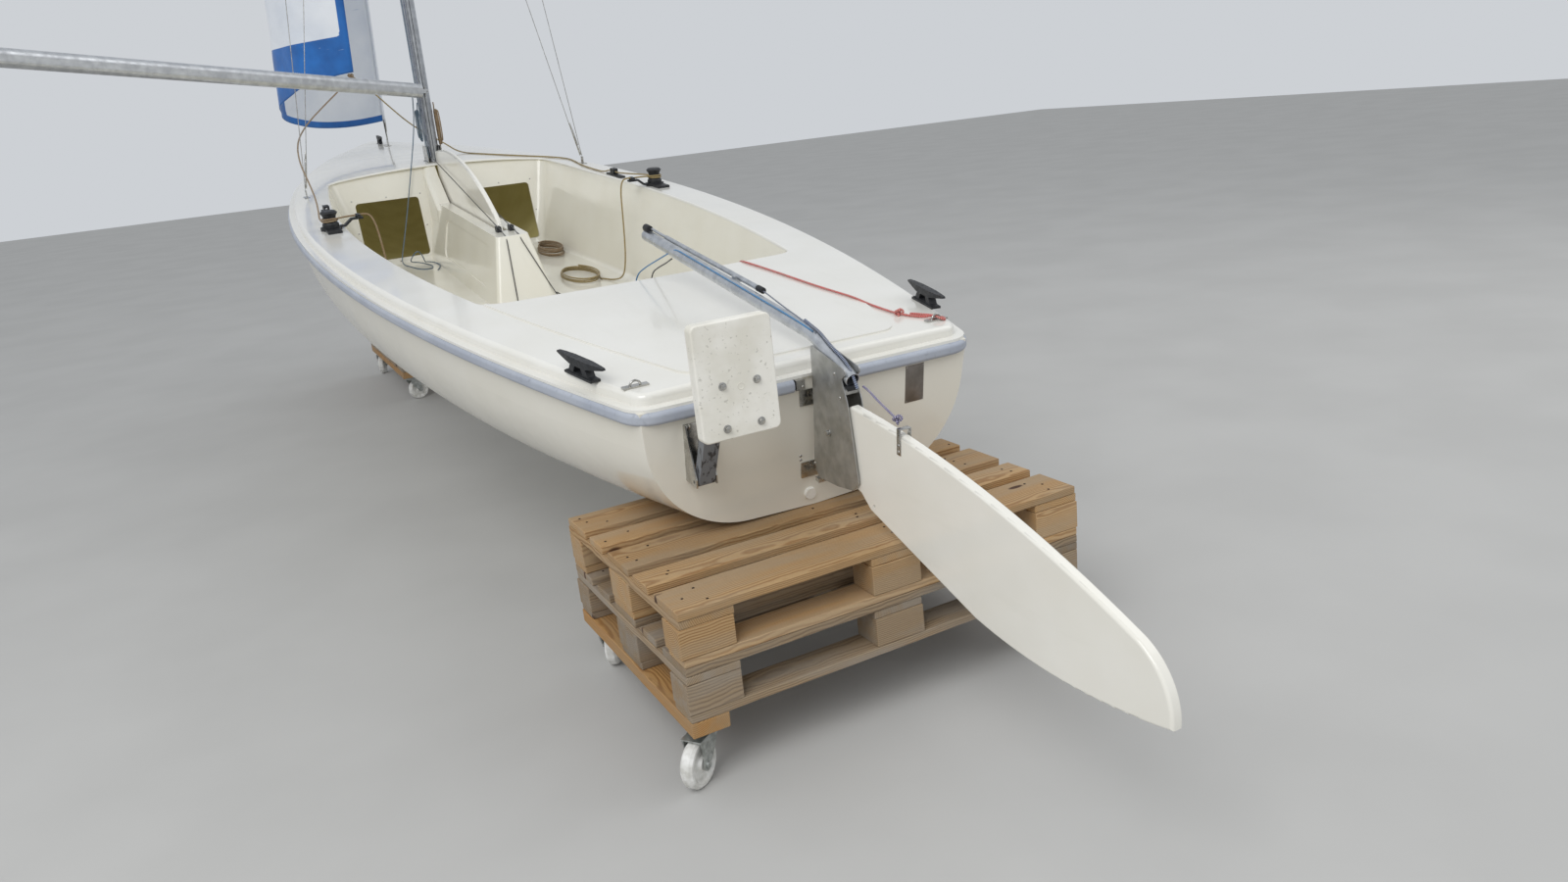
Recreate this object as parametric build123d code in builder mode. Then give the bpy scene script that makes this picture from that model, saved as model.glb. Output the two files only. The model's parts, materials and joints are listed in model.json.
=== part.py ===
from build123d import *
from math import asin, atan, atan2, cos, degrees, pi, radians, sin, sqrt
import os

os.makedirs("parts", exist_ok=True)

# Sailing dinghy, 6.5 m long, resting on two castored stacks of flat pallets.
# Millimetres. X to starboard, Y towards the bow, Z up, with the floor at Z = 0.
# It is set out from the foot of the transom, and each written piece is then moved
# so that the origin lies on the floor under the middle of the whole.
middle = (-806.66, 2565.51)
home = Location((-middle[0], -middle[1], 0))

# Stacks that carry the hull
pallet_long = 1200
pallet_short = 800
board_thick = 22
block_high = 78
pallet_height = 3 * board_thick + block_high
castor_height = 150
plank_thick = 40
plank_wide = 100
aft_stack = dict(y=7, count=2, along_x=pallet_long, along_y=pallet_short)
fore_stack = dict(y=5025, count=4, along_x=pallet_short, along_y=pallet_long)
pallet_top = castor_height + plank_thick + aft_stack["count"] * pallet_height

# The deck edge lies in one plane, which rises towards the bow by the sheer
sheer = degrees(atan(0.1027))
deck_edge_height = 391
boat = Plane(
    origin=(0, 0, pallet_top + deck_edge_height),
    x_dir=(1, 0, 0),
    z_dir=(0, -sin(radians(sheer)), cos(radians(sheer))),
)
profile = Plane(origin=boat.origin, x_dir=boat.y_dir, z_dir=(1, 0, 0))

# Deck edge in plan: three arcs that meet smoothly on each side, and the nose
half_width = 933
widest = 2800
aft_radius = 9925
middle_radius = 8737
bow_radius = 6422
bow_turn = asin((4400 - widest) / middle_radius)
aft_centre = half_width - aft_radius
middle_centre = half_width - middle_radius
bow_centre = middle_centre + (middle_radius - bow_radius) * cos(bow_turn)
bow_station = widest + (middle_radius - bow_radius) * sin(bow_turn)
transom = -61
transom_rake = 3.1
nose_radius = 35

# Cockpit
cockpit_inset = 205
cockpit_aft = 1075
cockpit_fore = 4215
cockpit_lip = 28
cockpit_draft = 0.283
sole = -413
sole_round = 28
liner_skin = 12

# Moulded skins
skin = 14
transom_skin = 20
deck_skin = 10
hull_inset = 10
rail_proud = 8
rail_high = 35
flange_thick = 8
deck_inset = 30
deck_nose = 60
deck_aft = -36
deck_shoulder = 14
rim_round = 8
aft_panel = dict(aft=30, fore=cockpit_aft + 30, inset=208, rise=5, corner=60)

# Centreboard and its case
slot_half = 22
trunk_half = 40
slot_aft = 2950
slot_fore = 4280
case_top = -90
trunk_aft = 2925
trunk_fore = 4305
board_thickness = 24
board_round = 7
board_pivot = (4120, -420)
board_pin = 8

# Mast, boom and rudder
mast_station = 4323
mast_foot = 107
mast_length = 7400
gooseneck = (4245, 499)
lug_gap = 24
lug_thick = 5
boom_length = 3000
boom_azimuth = 57.7
boom_rise = 9.1
stay_radius = 2
cheek_inner = 20
cheek_thick = 3


def at(u, v, w, turn=(0, 0, 0)):
    return boat.location * Location((u, v, w), turn)


def station(v, rake=0.0):
    # A plane across the boat at distance v, leaning aft at its top by the rake
    across = boat.y_dir * -cos(radians(rake)) - boat.z_dir * sin(radians(rake))
    return Plane(origin=boat.from_local_coords((0, v, 0)), x_dir=(1, 0, 0), z_dir=across)


def edge_half(v, inset=0.0):
    # Half the beam of the deck edge at v, moved in by the inset
    if v < widest:
        return aft_centre + sqrt((aft_radius - inset) ** 2 - (v - widest) ** 2)
    if v < widest + (middle_radius - inset) * sin(bow_turn):
        return middle_centre + sqrt((middle_radius - inset) ** 2 - (v - widest) ** 2)
    return bow_centre + sqrt((bow_radius - inset) ** 2 - (v - bow_station) ** 2)


def side_arc(start, end, inset):
    points = [(edge_half(v, inset), v) for v in (start, (start + end) / 2, end)]
    return ThreePointArc(*points)


def deck_outline(plane, inset, nose, aft, corner):
    # The whole deck edge, moved in by the inset, with its own nose and aft corners
    turn = widest + (middle_radius - inset) * sin(bow_turn)
    reach = bow_radius - inset - nose
    nose_centre = bow_station + sqrt(reach**2 - bow_centre**2)
    lean = atan2(nose_centre - bow_station, -bow_centre)
    touch = bow_station + (bow_radius - inset) * sin(lean)
    half = (lean + pi / 2) / 2
    with BuildSketch(plane) as face:
        with BuildLine():
            side_arc(aft, widest, inset)
            side_arc(widest, turn, inset)
            side_arc(turn, touch, inset)
            ThreePointArc(
                (edge_half(touch, inset), touch),
                (nose * cos(half), nose_centre + nose * sin(half)),
                (0, nose_centre + nose),
            )
            mirror(about=Plane.YZ)
            Line((-edge_half(aft, inset), aft), (edge_half(aft, inset), aft))
        make_face()
        fillet(face.vertices().group_by(Axis.Y)[0], corner)
    return face.sketch


def cockpit_outline(w, grow=0.0, bow=30, corners=(100, 60)):
    # The cockpit's outline at height w. Its walls lean in towards the sole
    draft = (cockpit_lip - w) * cockpit_draft
    inset = cockpit_inset + draft - grow
    aft = cockpit_aft + draft - grow
    fore = cockpit_fore - draft + grow
    half_aft = edge_half(aft, inset)
    half_fore = edge_half(fore, inset)
    with BuildSketch(boat.offset(w)) as face:
        with BuildLine():
            side_arc(aft, widest, inset)
            side_arc(widest, fore, inset)
            mirror(about=Plane.YZ)
            Line((-half_fore, fore), (half_fore, fore))
            ThreePointArc((-half_aft, aft), (0, aft - bow), (half_aft, aft))
        make_face()
        fillet(face.vertices().group_by(Axis.Y)[0], corners[0])
        fillet(face.vertices().group_by(Axis.Y)[-1], corners[1])
    return face.sketch


def side_shape(points, thick, middle=0.0, corner=2.0):
    # A plate seen from the side: its outline lies in v and w, its thickness across
    with BuildPart() as plate:
        with BuildSketch(profile.offset(middle)):
            with BuildLine():
                FilletPolyline(*points, radius=corner, close=True)
            make_face()
        extrude(amount=thick / 2, both=True)
    return plate.part


def rod(start, end, radius):
    # A round bar between two points of the boat's own frame
    a = boat.from_local_coords(start)
    b = boat.from_local_coords(end)
    with BuildPart() as bar:
        with BuildSketch(Plane(origin=a, z_dir=b - a)):
            Circle(radius)
        extrude(amount=(b - a).length)
    return bar.part


def finish(part, name):
    placed = part.moved(home)
    placed.label = name
    export_step(placed, f"parts/{name}.step")


def fair(table, v, column):
    # A table's column at station v, on a smooth curve through its rows
    last = len(table) - 1
    row = max(k for k in range(last) if k == 0 or table[k][0] <= v)

    def slope(k):
        low, high = max(k - 1, 0), min(k + 1, last)
        return (table[high][column] - table[low][column]) / (table[high][0] - table[low][0])

    step = table[row + 1][0] - table[row][0]
    t = (v - table[row][0]) / step
    rise = table[row + 1][column] - table[row][column]
    bend = t * (1 - t) * step * ((1 - t) * slope(row) - t * slope(row + 1))
    return table[row][column] + rise * t * t * (3 - 2 * t) + bend


# Hull sections, from the transom to the stem. Columns: station, depth of the keel,
# half width and depth of the bilge's corner, bilge radius and keel radius
hull_sections = [
    (transom, 389, 470, 372, 300, 300),
    (900, 462, 690, 420, 360, 300),
    (1900, 520, 815, 450, 410, 300),
    (2900, 552, 850, 455, 430, 300),
    (3900, 561, 770, 435, 430, 300),
    (4900, 552, 560, 390, 400, 300),
    (5700, 490, 300, 300, 300, 250),
    (6200, 320, 120, 190, 80, 100),
    (6440, 60, 20, 30, 6, 10),
]
hull_stations = [300, 700, 1200, 1700, 2200, 2700, 3200, 3700, 4200, 4700, 5200, 5600, 5900, 6150]


def hull_form(wall, start, rise, bow):
    # The hull's outside, or with a wall its inside, open upwards by the rise
    with BuildPart() as form:
        for v in [transom, *hull_stations, *bow]:
            keel, bilge, depth, bilge_radius, keel_radius = [
                fair(hull_sections, v, column) for column in range(1, 6)
            ]
            half = edge_half(v, hull_inset + wall)
            flare = rise * (half - bilge + wall) / (depth - wall)
            side = (half + flare, rise)
            with BuildSketch(station(start, transom_rake) if v == transom else station(v)):
                with BuildLine():
                    FilletPolyline(
                        (-side[0], side[1]),
                        (-bilge + wall, -depth + wall),
                        (0, -keel + wall),
                        (bilge - wall, -depth + wall),
                        side,
                        radius=[bilge_radius - wall, keel_radius, bilge_radius - wall],
                    )
                    Line(side, (-side[0], side[1]))
                make_face()
        loft()
    return form.part


hull_outside = hull_form(0, transom, 0, [6320, 6440])
hull_inside = hull_form(skin, transom + transom_skin, 20, [])

with BuildPart() as hull_shell:
    add(hull_outside)
    add(hull_inside, mode=Mode.SUBTRACT)
    with Locations(at(0, (slot_aft + slot_fore) / 2, -450)):
        Box(2 * slot_half, slot_fore - slot_aft, 400, mode=Mode.SUBTRACT)
finish(hull_shell.part, "hull_shell")

# Deck heights above the deck edge. Columns: station, shoulder and centre line
deck_heights = [
    (-400, 38, 42),
    (1500, 38, 42),
    (3000, 38, 43),
    (3700, 38, 60),
    (4215, 38, 105),
    (4900, 38, 82),
    (5700, 36, 60),
    (6400, 26, 34),
    (6800, 20, 26),
]


def deck_sky(drop):
    # The space above the deck, whose lower face is the crowned deck less the drop
    with BuildPart() as sky:
        for v in range(-400, 6801, 400):
            shoulder = fair(deck_heights, v - 0.01, 1) - drop
            centre = fair(deck_heights, v - 0.01, 2) - drop
            half = max(edge_half(min(v, 6200), deck_inset), 120)
            wide = half + 60
            low = centre - (centre - shoulder) * (wide / half) ** 2
            with BuildSketch(station(v)):
                with BuildLine():
                    ThreePointArc((-wide, low), (0, centre), (wide, low))
                    Polyline((wide, low), (wide, 300), (-wide, 300), (-wide, low))
                make_face()
        loft()
    return sky.part


def under_deck(inset, nose, aft, floor, drop):
    with BuildPart() as body:
        outline = deck_outline(boat.offset(floor), inset, nose, aft, 45)
        extrude(outline, amount=150 - floor)
        add(deck_sky(drop), mode=Mode.SUBTRACT)
    return body.part


deck_block = under_deck(deck_inset, deck_nose, deck_aft, 0, 0)
deck_void = under_deck(
    deck_inset + deck_skin, deck_nose - deck_skin, deck_aft + deck_skin, -600, deck_skin
)

with BuildPart() as raised_panel:
    with BuildSketch(boat) as outline:
        with BuildLine():
            side_arc(aft_panel["aft"], aft_panel["fore"], aft_panel["inset"])
            mirror(about=Plane.YZ)
            for v in (aft_panel["aft"], aft_panel["fore"]):
                half = edge_half(v, aft_panel["inset"])
                Line((-half, v), (half, v))
        make_face()
        fillet(outline.vertices().group_by(Axis.Y)[0], aft_panel["corner"])
    extrude(amount=100)
    add(deck_sky(-aft_panel["rise"]), mode=Mode.SUBTRACT)
    add(deck_void, mode=Mode.SUBTRACT)
    extrude(cockpit_outline(cockpit_lip, rim_round + 2), amount=200, both=True, mode=Mode.SUBTRACT)

with BuildPart() as deck_moulding:
    add(deck_block)
    shoulder = deck_moulding.faces().sort_by(Axis(boat.origin, boat.z_dir))[-1].outer_wire()
    fillet(shoulder.edges(), deck_shoulder)
    extrude(deck_outline(boat, 0, nose_radius, transom - 5, 75), amount=flange_thick)
    add(deck_void, mode=Mode.SUBTRACT)
    extrude(cockpit_outline(cockpit_lip), amount=200, both=True, mode=Mode.SUBTRACT)
    crown = deck_moulding.faces().filter_by(GeomType.BSPLINE).sort_by(Axis(boat.origin, boat.z_dir))[-1]
    fillet(crown.inner_wires()[0].edges(), rim_round)
    add(raised_panel.part)
finish(deck_moulding.part, "deck_moulding")

# Cockpit liner: a tub with leaning walls, whose fore wall is the bulkhead
liner_top = 120
locker_u = (150, 500)
locker_w = (-382, -64)


def liner_form(low, high, grow):
    with BuildPart() as form:
        loft(sections=[cockpit_outline(low, grow), cockpit_outline(high, grow)], ruled=True)
    return form.part


def rounded_foot(form, radius):
    with BuildPart() as tub:
        add(form)
        fillet(tub.faces().sort_by(Axis(boat.origin, boat.z_dir))[0].edges(), radius)
    return tub.part


liner_inside = rounded_foot(liner_form(sole, liner_top + 1, 0), sole_round)
with BuildPart() as cockpit_liner:
    add(rounded_foot(liner_form(sole - liner_skin, liner_top, liner_skin), sole_round + liner_skin))
    add(liner_inside, mode=Mode.SUBTRACT)
    for side in (-1, 1):
        with BuildSketch(station(cockpit_fore - 300)):
            with Locations((side * sum(locker_u) / 2, sum(locker_w) / 2)):
                RectangleRounded(locker_u[1] - locker_u[0], locker_w[1] - locker_w[0], 20)
        extrude(amount=-600, mode=Mode.SUBTRACT)
    with Locations(at(0, (trunk_aft + 4400) / 2, (case_top - 600) / 2)):
        Box(2 * trunk_half, 4400 - trunk_aft, case_top + 600, mode=Mode.SUBTRACT)
    with Locations(at(0, (trunk_aft + slot_fore) / 2, 0)):
        Box(2 * slot_half, slot_fore - trunk_aft, 400, mode=Mode.SUBTRACT)
    add(deck_void, mode=Mode.INTERSECT)
finish(cockpit_liner.part, "cockpit_liner")

# Centreboard case: the trunk round the slot, its fairing in the cockpit, and the rise
# to the mast. Columns of the rise: height, its aft face and its half width
mast_rise = [(sole, 3990, 110), (case_top - 30, 3940, 100), (40, 4170, 95), (92, 4222, 90)]
case_foot = (2690, 4150, 150)
case_head = (2801, 4250, 79)
side_recess = dict(v=3350, w=-245, long=900, high=200, corner=45, depth=5)


def case_form(wall, top):
    with BuildPart() as form:
        for w, (aft, fore, half) in ((sole, case_foot), (top, case_head)):
            with BuildSketch(boat.offset(w)):
                with Locations((0, (aft + wall + fore) / 2)):
                    RectangleRounded(2 * (half - wall), fore - aft - wall, 22 - wall)
        loft(ruled=True)
    return form.part


with BuildPart() as trunk:
    with Locations(at(0, (trunk_aft + trunk_fore) / 2, (case_top - 600) / 2)):
        Box(2 * trunk_half, trunk_fore - trunk_aft, case_top + 600)
    add(hull_inside, mode=Mode.INTERSECT)

with BuildPart() as centreboard_case:
    for w, face, half in mast_rise:
        with BuildSketch(boat.offset(w)):
            with Locations((0, (face + 4300) / 2)):
                RectangleRounded(2 * half, 4300 - face, 30)
    loft(ruled=True)
    add(case_form(0, case_top))
    with BuildPart(mode=Mode.SUBTRACT):
        add(case_form(-10, case_top))
        add(case_form(side_recess["depth"], case_top), mode=Mode.SUBTRACT)
        with BuildSketch(profile):
            with Locations((side_recess["v"], side_recess["w"])):
                RectangleRounded(side_recess["long"], side_recess["high"], side_recess["corner"])
        extrude(amount=400, both=True, mode=Mode.INTERSECT)
    add(case_form(liner_skin, case_top - liner_skin), mode=Mode.SUBTRACT)
    add(liner_inside, mode=Mode.INTERSECT)
    add(deck_void, mode=Mode.INTERSECT)
    add(trunk.part)
    with Locations(at(0, (slot_aft + slot_fore) / 2, -200)):
        Box(2 * slot_half, slot_fore - slot_aft, 900, mode=Mode.SUBTRACT)
    with Locations(profile.location * Location((*board_pivot, 0))):
        Cylinder(board_pin, 2 * trunk_half)
finish(centreboard_case.part, "centreboard_case")

# Centreboard, raised so far that its back stands out of the slot
with BuildPart() as centreboard:
    with BuildSketch(profile):
        with BuildLine():
            ThreePointArc((4200, 172), (3929, 199), (3040, -42))
            ThreePointArc((3040, -42), (2980, -270), (3100, -500))
            Line((3100, -500), (4120, -500))
            ThreePointArc((4120, -500), (4177, -477), (4200, -420))
            Line((4200, -420), (4200, 172))
        make_face()
    extrude(amount=board_thickness / 2, both=True)
    for face in centreboard.faces().sort_by(Axis.X)[:: len(centreboard.faces()) - 1]:
        fillet(face.edges(), board_round)
    with Locations(profile.location * Location((*board_pivot, 0))):
        Cylinder(board_pin + 0.3, 100, mode=Mode.SUBTRACT)
finish(centreboard.part, "centreboard")

# Rub rail round the deck edge, open where the rudder hangs
rail_gap = (-70, 45)
with BuildPart() as rub_rail:
    low = boat.offset(-rail_high)
    band = deck_outline(low, -rail_proud, nose_radius + rail_proud, transom - 18, 93)
    extrude(band, amount=rail_high)
    for face in rub_rail.faces().sort_by(Axis(boat.origin, boat.z_dir))[:: len(rub_rail.faces()) - 1]:
        fillet(face.edges(), 12)
    add(hull_outside, mode=Mode.SUBTRACT)
    with Locations(at(sum(rail_gap) / 2, transom, -rail_high / 2)):
        Box(rail_gap[1] - rail_gap[0], 100, rail_high, mode=Mode.SUBTRACT)
finish(rub_rail.part, "rub_rail")


def seated(part, *seats):
    # A fitting trimmed to the surfaces that it stands on
    with BuildPart() as fitting:
        add(part)
        for seat in seats:
            add(seat, mode=Mode.SUBTRACT)
    return fitting.part


# Horn cleats on the aft deck and one at the bow: horns that taper to their ends, on two
# splayed legs. The side view's columns are the distance from the middle and the height
cleat_side = [(52, -6), (52, 5), (38, 9), (29, 30), (60, 38), (90, 47), (88, 53), (70, 54)]
cleat_window = [(19, 8), (12, 29)]
cleat_top = [(90, 5), (34, 12)]


def both_sides(points):
    return points + [(-a, b) for a, b in reversed(points)]


def horn_cleat(u, v, w):
    with BuildPart() as cleat:
        with BuildSketch(Plane(profile.location * Location((v, w, u)))):
            with BuildLine():
                Polyline(*both_sides(cleat_side), close=True)
            make_face()
            with BuildLine():
                Polyline(*both_sides(cleat_window), close=True)
            make_face(mode=Mode.SUBTRACT)
        extrude(amount=12, both=True)
        with BuildSketch(Plane(at(u, v, w - 10, (0, 0, 90)))):
            with BuildLine():
                Polyline(*both_sides(cleat_top), *both_sides([(-a, -b) for a, b in cleat_top]), close=True)
            make_face()
        extrude(amount=80, mode=Mode.INTERSECT)
        with Locations(at(u, v, w)):
            Box(30, 104, 8)
    return seated(cleat.part, deck_block)


finish(Compound(children=[horn_cleat(side * 520, 270, 42) for side in (-1, 1)]), "aft_cleats")
finish(horn_cleat(0, 6070, 42), "bow_cleat")


def eye_strap(u, v, w):
    with BuildPart() as strap:
        with Locations(at(u, v, w)):
            Box(70, 20, 5)
        with Locations(at(u, v, w, (90, 0, 0))):
            Torus(15, 3)
    return seated(strap.part, deck_block)


finish(Compound(children=[eye_strap(side * 468, 36, 41) for side in (-1, 1)]), "aft_eye_straps")

# Sheet winches: a plinth on the side deck, a waisted drum, and an arm inboard that holds
# a pair of cams. The arm's columns are the distance from the drum's axis and the height
winch_u, winch_v, winch_foot = 790, 2890, 52
winch_arm = [(38, 46), (62, 46), (94, 72), (142, 72), (142, 80), (90, 80), (58, 54), (38, 54)]
cam_out, cam_apart = 122, 13


def winch_drum(u):
    foot = boat.from_local_coords((u, winch_v, winch_foot))
    with BuildPart() as drum:
        with BuildSketch(Plane(origin=foot, x_dir=boat.x_dir, z_dir=-boat.y_dir)):
            with BuildLine():
                Polyline((0, 0), (36, 0), (36, 14))
                ThreePointArc((36, 14), (27, 34), (33, 56))
                Polyline((33, 56), (38, 64), (30, 72), (0, 72), (0, 0))
            make_face()
        revolve(axis=Axis(foot, boat.z_dir))
    return drum.part


def winch_base(side):
    with BuildPart() as base:
        with Locations(at(side * winch_u, winch_v, 42)):
            Cylinder(46, 20)
        with Locations(at(side * winch_u, winch_v - 75, 42)):
            Box(60, 90, 16)
        with BuildSketch(station(winch_v)):
            with BuildLine():
                Polyline(*[(side * (winch_u - a), b) for a, b in winch_arm], close=True)
            make_face()
        extrude(amount=15, both=True)
        for along in (-cam_apart, cam_apart):
            with Locations(at(side * (winch_u - cam_out), winch_v + along, 86)):
                Cylinder(11, 14)
    return seated(base.part, deck_block)


finish(Compound(children=[winch_base(side) for side in (-1, 1)]), "winch_bases")
finish(Compound(children=[winch_drum(side * winch_u) for side in (-1, 1)]), "winch_drums")


def fairlead(u):
    with BuildPart() as lead:
        with Locations(at(u, 3330, 44)):
            Box(34, 200, 10)
        with Locations(at(u, 3350, 60)):
            Box(26, 52, 36)
        with Locations(at(u, 3350, 62, (90, 0, 0))):
            Cylinder(8, 80, mode=Mode.SUBTRACT)
    return seated(lead.part, deck_block)


finish(Compound(children=[fairlead(side * 745) for side in (-1, 1)]), "sheet_fairleads")

chain_u, chain_v, chain_w = 765, 3920, 76


def chainplate(side):
    with BuildPart() as plate:
        with Locations(at(side * chain_u, chain_v, 42)):
            Box(30, 74, 8)
        with Locations(at(side * chain_u, chain_v, 62)):
            Box(5, 30, 44)
        with Locations(at(side * chain_u, chain_v, chain_w, (0, 90, 0))):
            Cylinder(4, 20, mode=Mode.SUBTRACT)
    return seated(plate.part, deck_block)


finish(Compound(children=[chainplate(side) for side in (-1, 1)]), "chainplates")


def clam_cleat(side):
    with BuildPart() as cleat:
        with BuildSketch(station(2916)):
            with Locations((side * 31, case_top + 13)):
                Rectangle(22, 26)
            with Locations((side * 31, case_top + 24)):
                Rectangle(7, 14, mode=Mode.SUBTRACT)
        extrude(amount=-42)
    return cleat.part


finish(Compound(children=[clam_cleat(side) for side in (-1, 1)]), "case_clam_cleats")

# Mast, its step, spreaders and stays
with BuildPart() as mast_core:
    with BuildSketch(boat.offset(mast_foot)):
        with Locations((0, mast_station)):
            Ellipse(36, 48)
    extrude(amount=mast_length)
with BuildPart() as mast:
    with BuildSketch(boat.offset(mast_foot)):
        with Locations((0, mast_station)):
            Ellipse(36, 48)
        with Locations((0, mast_station + 5)):
            Ellipse(33, 38, mode=Mode.SUBTRACT)
        with Locations((0, mast_station - 40)):
            Circle(5, mode=Mode.SUBTRACT)
        with Locations((0, mast_station - 46)):
            Rectangle(4, 8, mode=Mode.SUBTRACT)
    extrude(amount=mast_length)
    for w in (-lug_gap, lug_gap):
        with BuildSketch(boat.offset(gooseneck[1] + w - lug_thick / 2)):
            with Locations((0, gooseneck[0] + 15)):
                Rectangle(24, 32)
            with Locations((0, gooseneck[0])):
                Circle(12)
                Circle(4.2, mode=Mode.SUBTRACT)
        extrude(amount=lug_thick)
finish(mast.part, "mast")

with BuildPart() as mast_step:
    with Locations(at(0, mast_station - 4, mast_foot - 5)):
        Box(96, 128, 10)
    for side in (-1, 1):
        with Locations(at(side * 40, mast_station, mast_foot + 40)):
            Box(4, 110, 90)
finish(seated(mast_step.part, mast_core.part, deck_block), "mast_step")

spreader_w, hounds_w = 3750, 5900
spreader_tip = (330, 4230, 3800)
finish(
    Compound(
        children=[
            seated(
                rod((side * 20, mast_station, spreader_w), (side * spreader_tip[0], *spreader_tip[1:]), 10),
                mast_core.part,
            )
            for side in (-1, 1)
        ]
    ),
    "spreaders",
)
stays = []
for side in (-1, 1):
    foot = (side * chain_u, chain_v, chain_w + 12)
    tip = (side * (spreader_tip[0] + 13), spreader_tip[1], spreader_tip[2])
    stays.append(rod(foot, tip, stay_radius))
    stays.append(rod(tip, (side * 38, mast_station, hounds_w), stay_radius))
    inner_foot = (foot[0] - side * 8, foot[1] + 8, foot[2])
    stays.append(rod(inner_foot, (side * 38, mast_station, spreader_w - 90), stay_radius))
finish(Compound(children=stays), "shrouds")

forestay_foot = (0, 5750, 96)
forestay_head = (0, mast_station + 50, hounds_w)
finish(rod(forestay_foot, forestay_head, stay_radius), "forestay")
with BuildPart() as bow_fitting:
    with Locations(at(0, 5790, 56)):
        Box(36, 130, 10)
    with Locations(at(0, 5756, 76)):
        Box(5, 40, 50)
    with Locations(at(0, 5750, 88, (0, 90, 0))):
        Cylinder(4, 20, mode=Mode.SUBTRACT)
finish(seated(bow_fitting.part, deck_block, rod(forestay_foot, forestay_head, 4)), "bow_fitting")

# Jib, let go: it hangs from the forestay and bellies out to port, and its clew lies
# near the mast. Columns: height, then u and v of the belly and of the leech
jib_sections = [
    (150, -700, 5190, -310, 4750),
    (1500, -600, 5040, -250, 4700),
    (3200, -300, 4800, -120, 4650),
    (4800, -50, 4620, -26, 4596),
]
jib_thick = 16
jib_luff_gap = 12
jib_foot = [(-12, 5712, 232), (-700, 5150, 430), (-305, 4750, 600)]


def luff_at(w):
    share = (w - forestay_foot[2]) / (forestay_head[2] - forestay_foot[2])
    return forestay_foot[1] + share * (forestay_head[1] - forestay_foot[1])


def arc_centre(a, b, c):
    # The centre of the circle through three points of a plane
    ab, ac = b - a, c - a
    cross = 2 * (ab.X * ac.Y - ab.Y * ac.X)
    x = (ac.Y * ab.dot(ab) - ab.Y * ac.dot(ac)) / cross
    y = (ab.X * ac.dot(ac) - ac.X * ab.dot(ab)) / cross
    return a + Vector(x, y)


with BuildPart() as jib:
    for w, belly_u, belly_v, leech_u, leech_v in jib_sections:
        points = [Vector(-jib_luff_gap, luff_at(w)), Vector(belly_u, belly_v), Vector(leech_u, leech_v)]
        centre = arc_centre(*points)
        radius = (points[0] - centre).length
        outer, inner = [
            [centre + (point - centre) * (1 + side * jib_thick / 2 / radius) for point in points]
            for side in (1, -1)
        ]
        with BuildSketch(boat.offset(w)):
            with BuildLine():
                ThreePointArc(*outer)
                ThreePointArc(*inner)
                Line(outer[0], inner[0])
                Line(outer[2], inner[2])
            make_face()
    loft(ruled=True)
    foot = [boat.from_local_coords(point) for point in jib_foot]
    below = (foot[1] - foot[0]).cross(foot[2] - foot[0]).normalized()
    split(bisect_by=Plane(origin=foot[0], z_dir=below if below.Z > 0 else below * -1), keep=Keep.TOP)
finish(jib.part, "jib")

# Boom, swung out to port on the toggle of its gooseneck
turn_out = radians(boom_azimuth)
climb = radians(boom_rise)
boom_dir = (
    boat.x_dir * (-sin(turn_out) * cos(climb))
    + boat.y_dir * (-cos(turn_out) * cos(climb))
    + boat.z_dir * sin(climb)
)
boom_side = boom_dir.cross(boat.z_dir).normalized()
pivot = boat.from_local_coords((0, *gooseneck))
pin_plane = Plane(origin=pivot, x_dir=boom_dir, z_dir=boom_side)
boom_wide, boom_high, boom_corner, boom_wall = 56, 77, 26, 3
with BuildPart() as boom:
    with BuildSketch(Plane(origin=pivot + boom_dir * 40, x_dir=boom_side, z_dir=boom_dir)):
        RectangleRounded(boom_wide, boom_high, boom_corner)
        offset(amount=-boom_wall, mode=Mode.SUBTRACT)
        for high in (-1, 1):
            with Locations((0, high * (boom_high / 2 - 8))):
                Circle(7.5)
        for high in (-1, 1):
            with Locations((0, high * (boom_high / 2 - 8))):
                Circle(4.5, mode=Mode.SUBTRACT)
            with Locations((0, high * (boom_high / 2 - 3))):
                Rectangle(3.5, 12, mode=Mode.SUBTRACT)
    extrude(amount=boom_length)
    for start, long in ((40, 30), (40 + boom_length - 14, 14)):
        with BuildSketch(Plane(origin=pivot + boom_dir * start, x_dir=boom_side, z_dir=boom_dir)):
            RectangleRounded(boom_wide, boom_high, boom_corner)
        extrude(amount=long)
    for side in (-1, 1):
        with BuildSketch(pin_plane.offset(side * 15 - 3)):
            with Locations((22, 0)):
                Rectangle(44, 22)
            Circle(11)
            Circle(4.2, mode=Mode.SUBTRACT)
        extrude(amount=6)
finish(boom.part, "boom")

with BuildPart() as gooseneck_toggle:
    with Locations(pin_plane.location):
        Cylinder(4, 38)
    with Locations(at(0, *gooseneck)):
        Cylinder(10, 20)
        Cylinder(4, 2 * (lug_gap + lug_thick))
finish(gooseneck_toggle.part, "gooseneck_toggle")

# Rudder: gudgeons on the transom, pins, cheeks, tiller with its extension, and blade
transom_plane = station(transom, transom_rake)
pintle_out = 38
gudgeon_heights = (-60, -274)


def axis_plane(height):
    return Plane(
        origin=transom_plane.from_local_coords((0, height, pintle_out)),
        x_dir=(1, 0, 0),
        z_dir=transom_plane.y_dir,
    )


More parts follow.
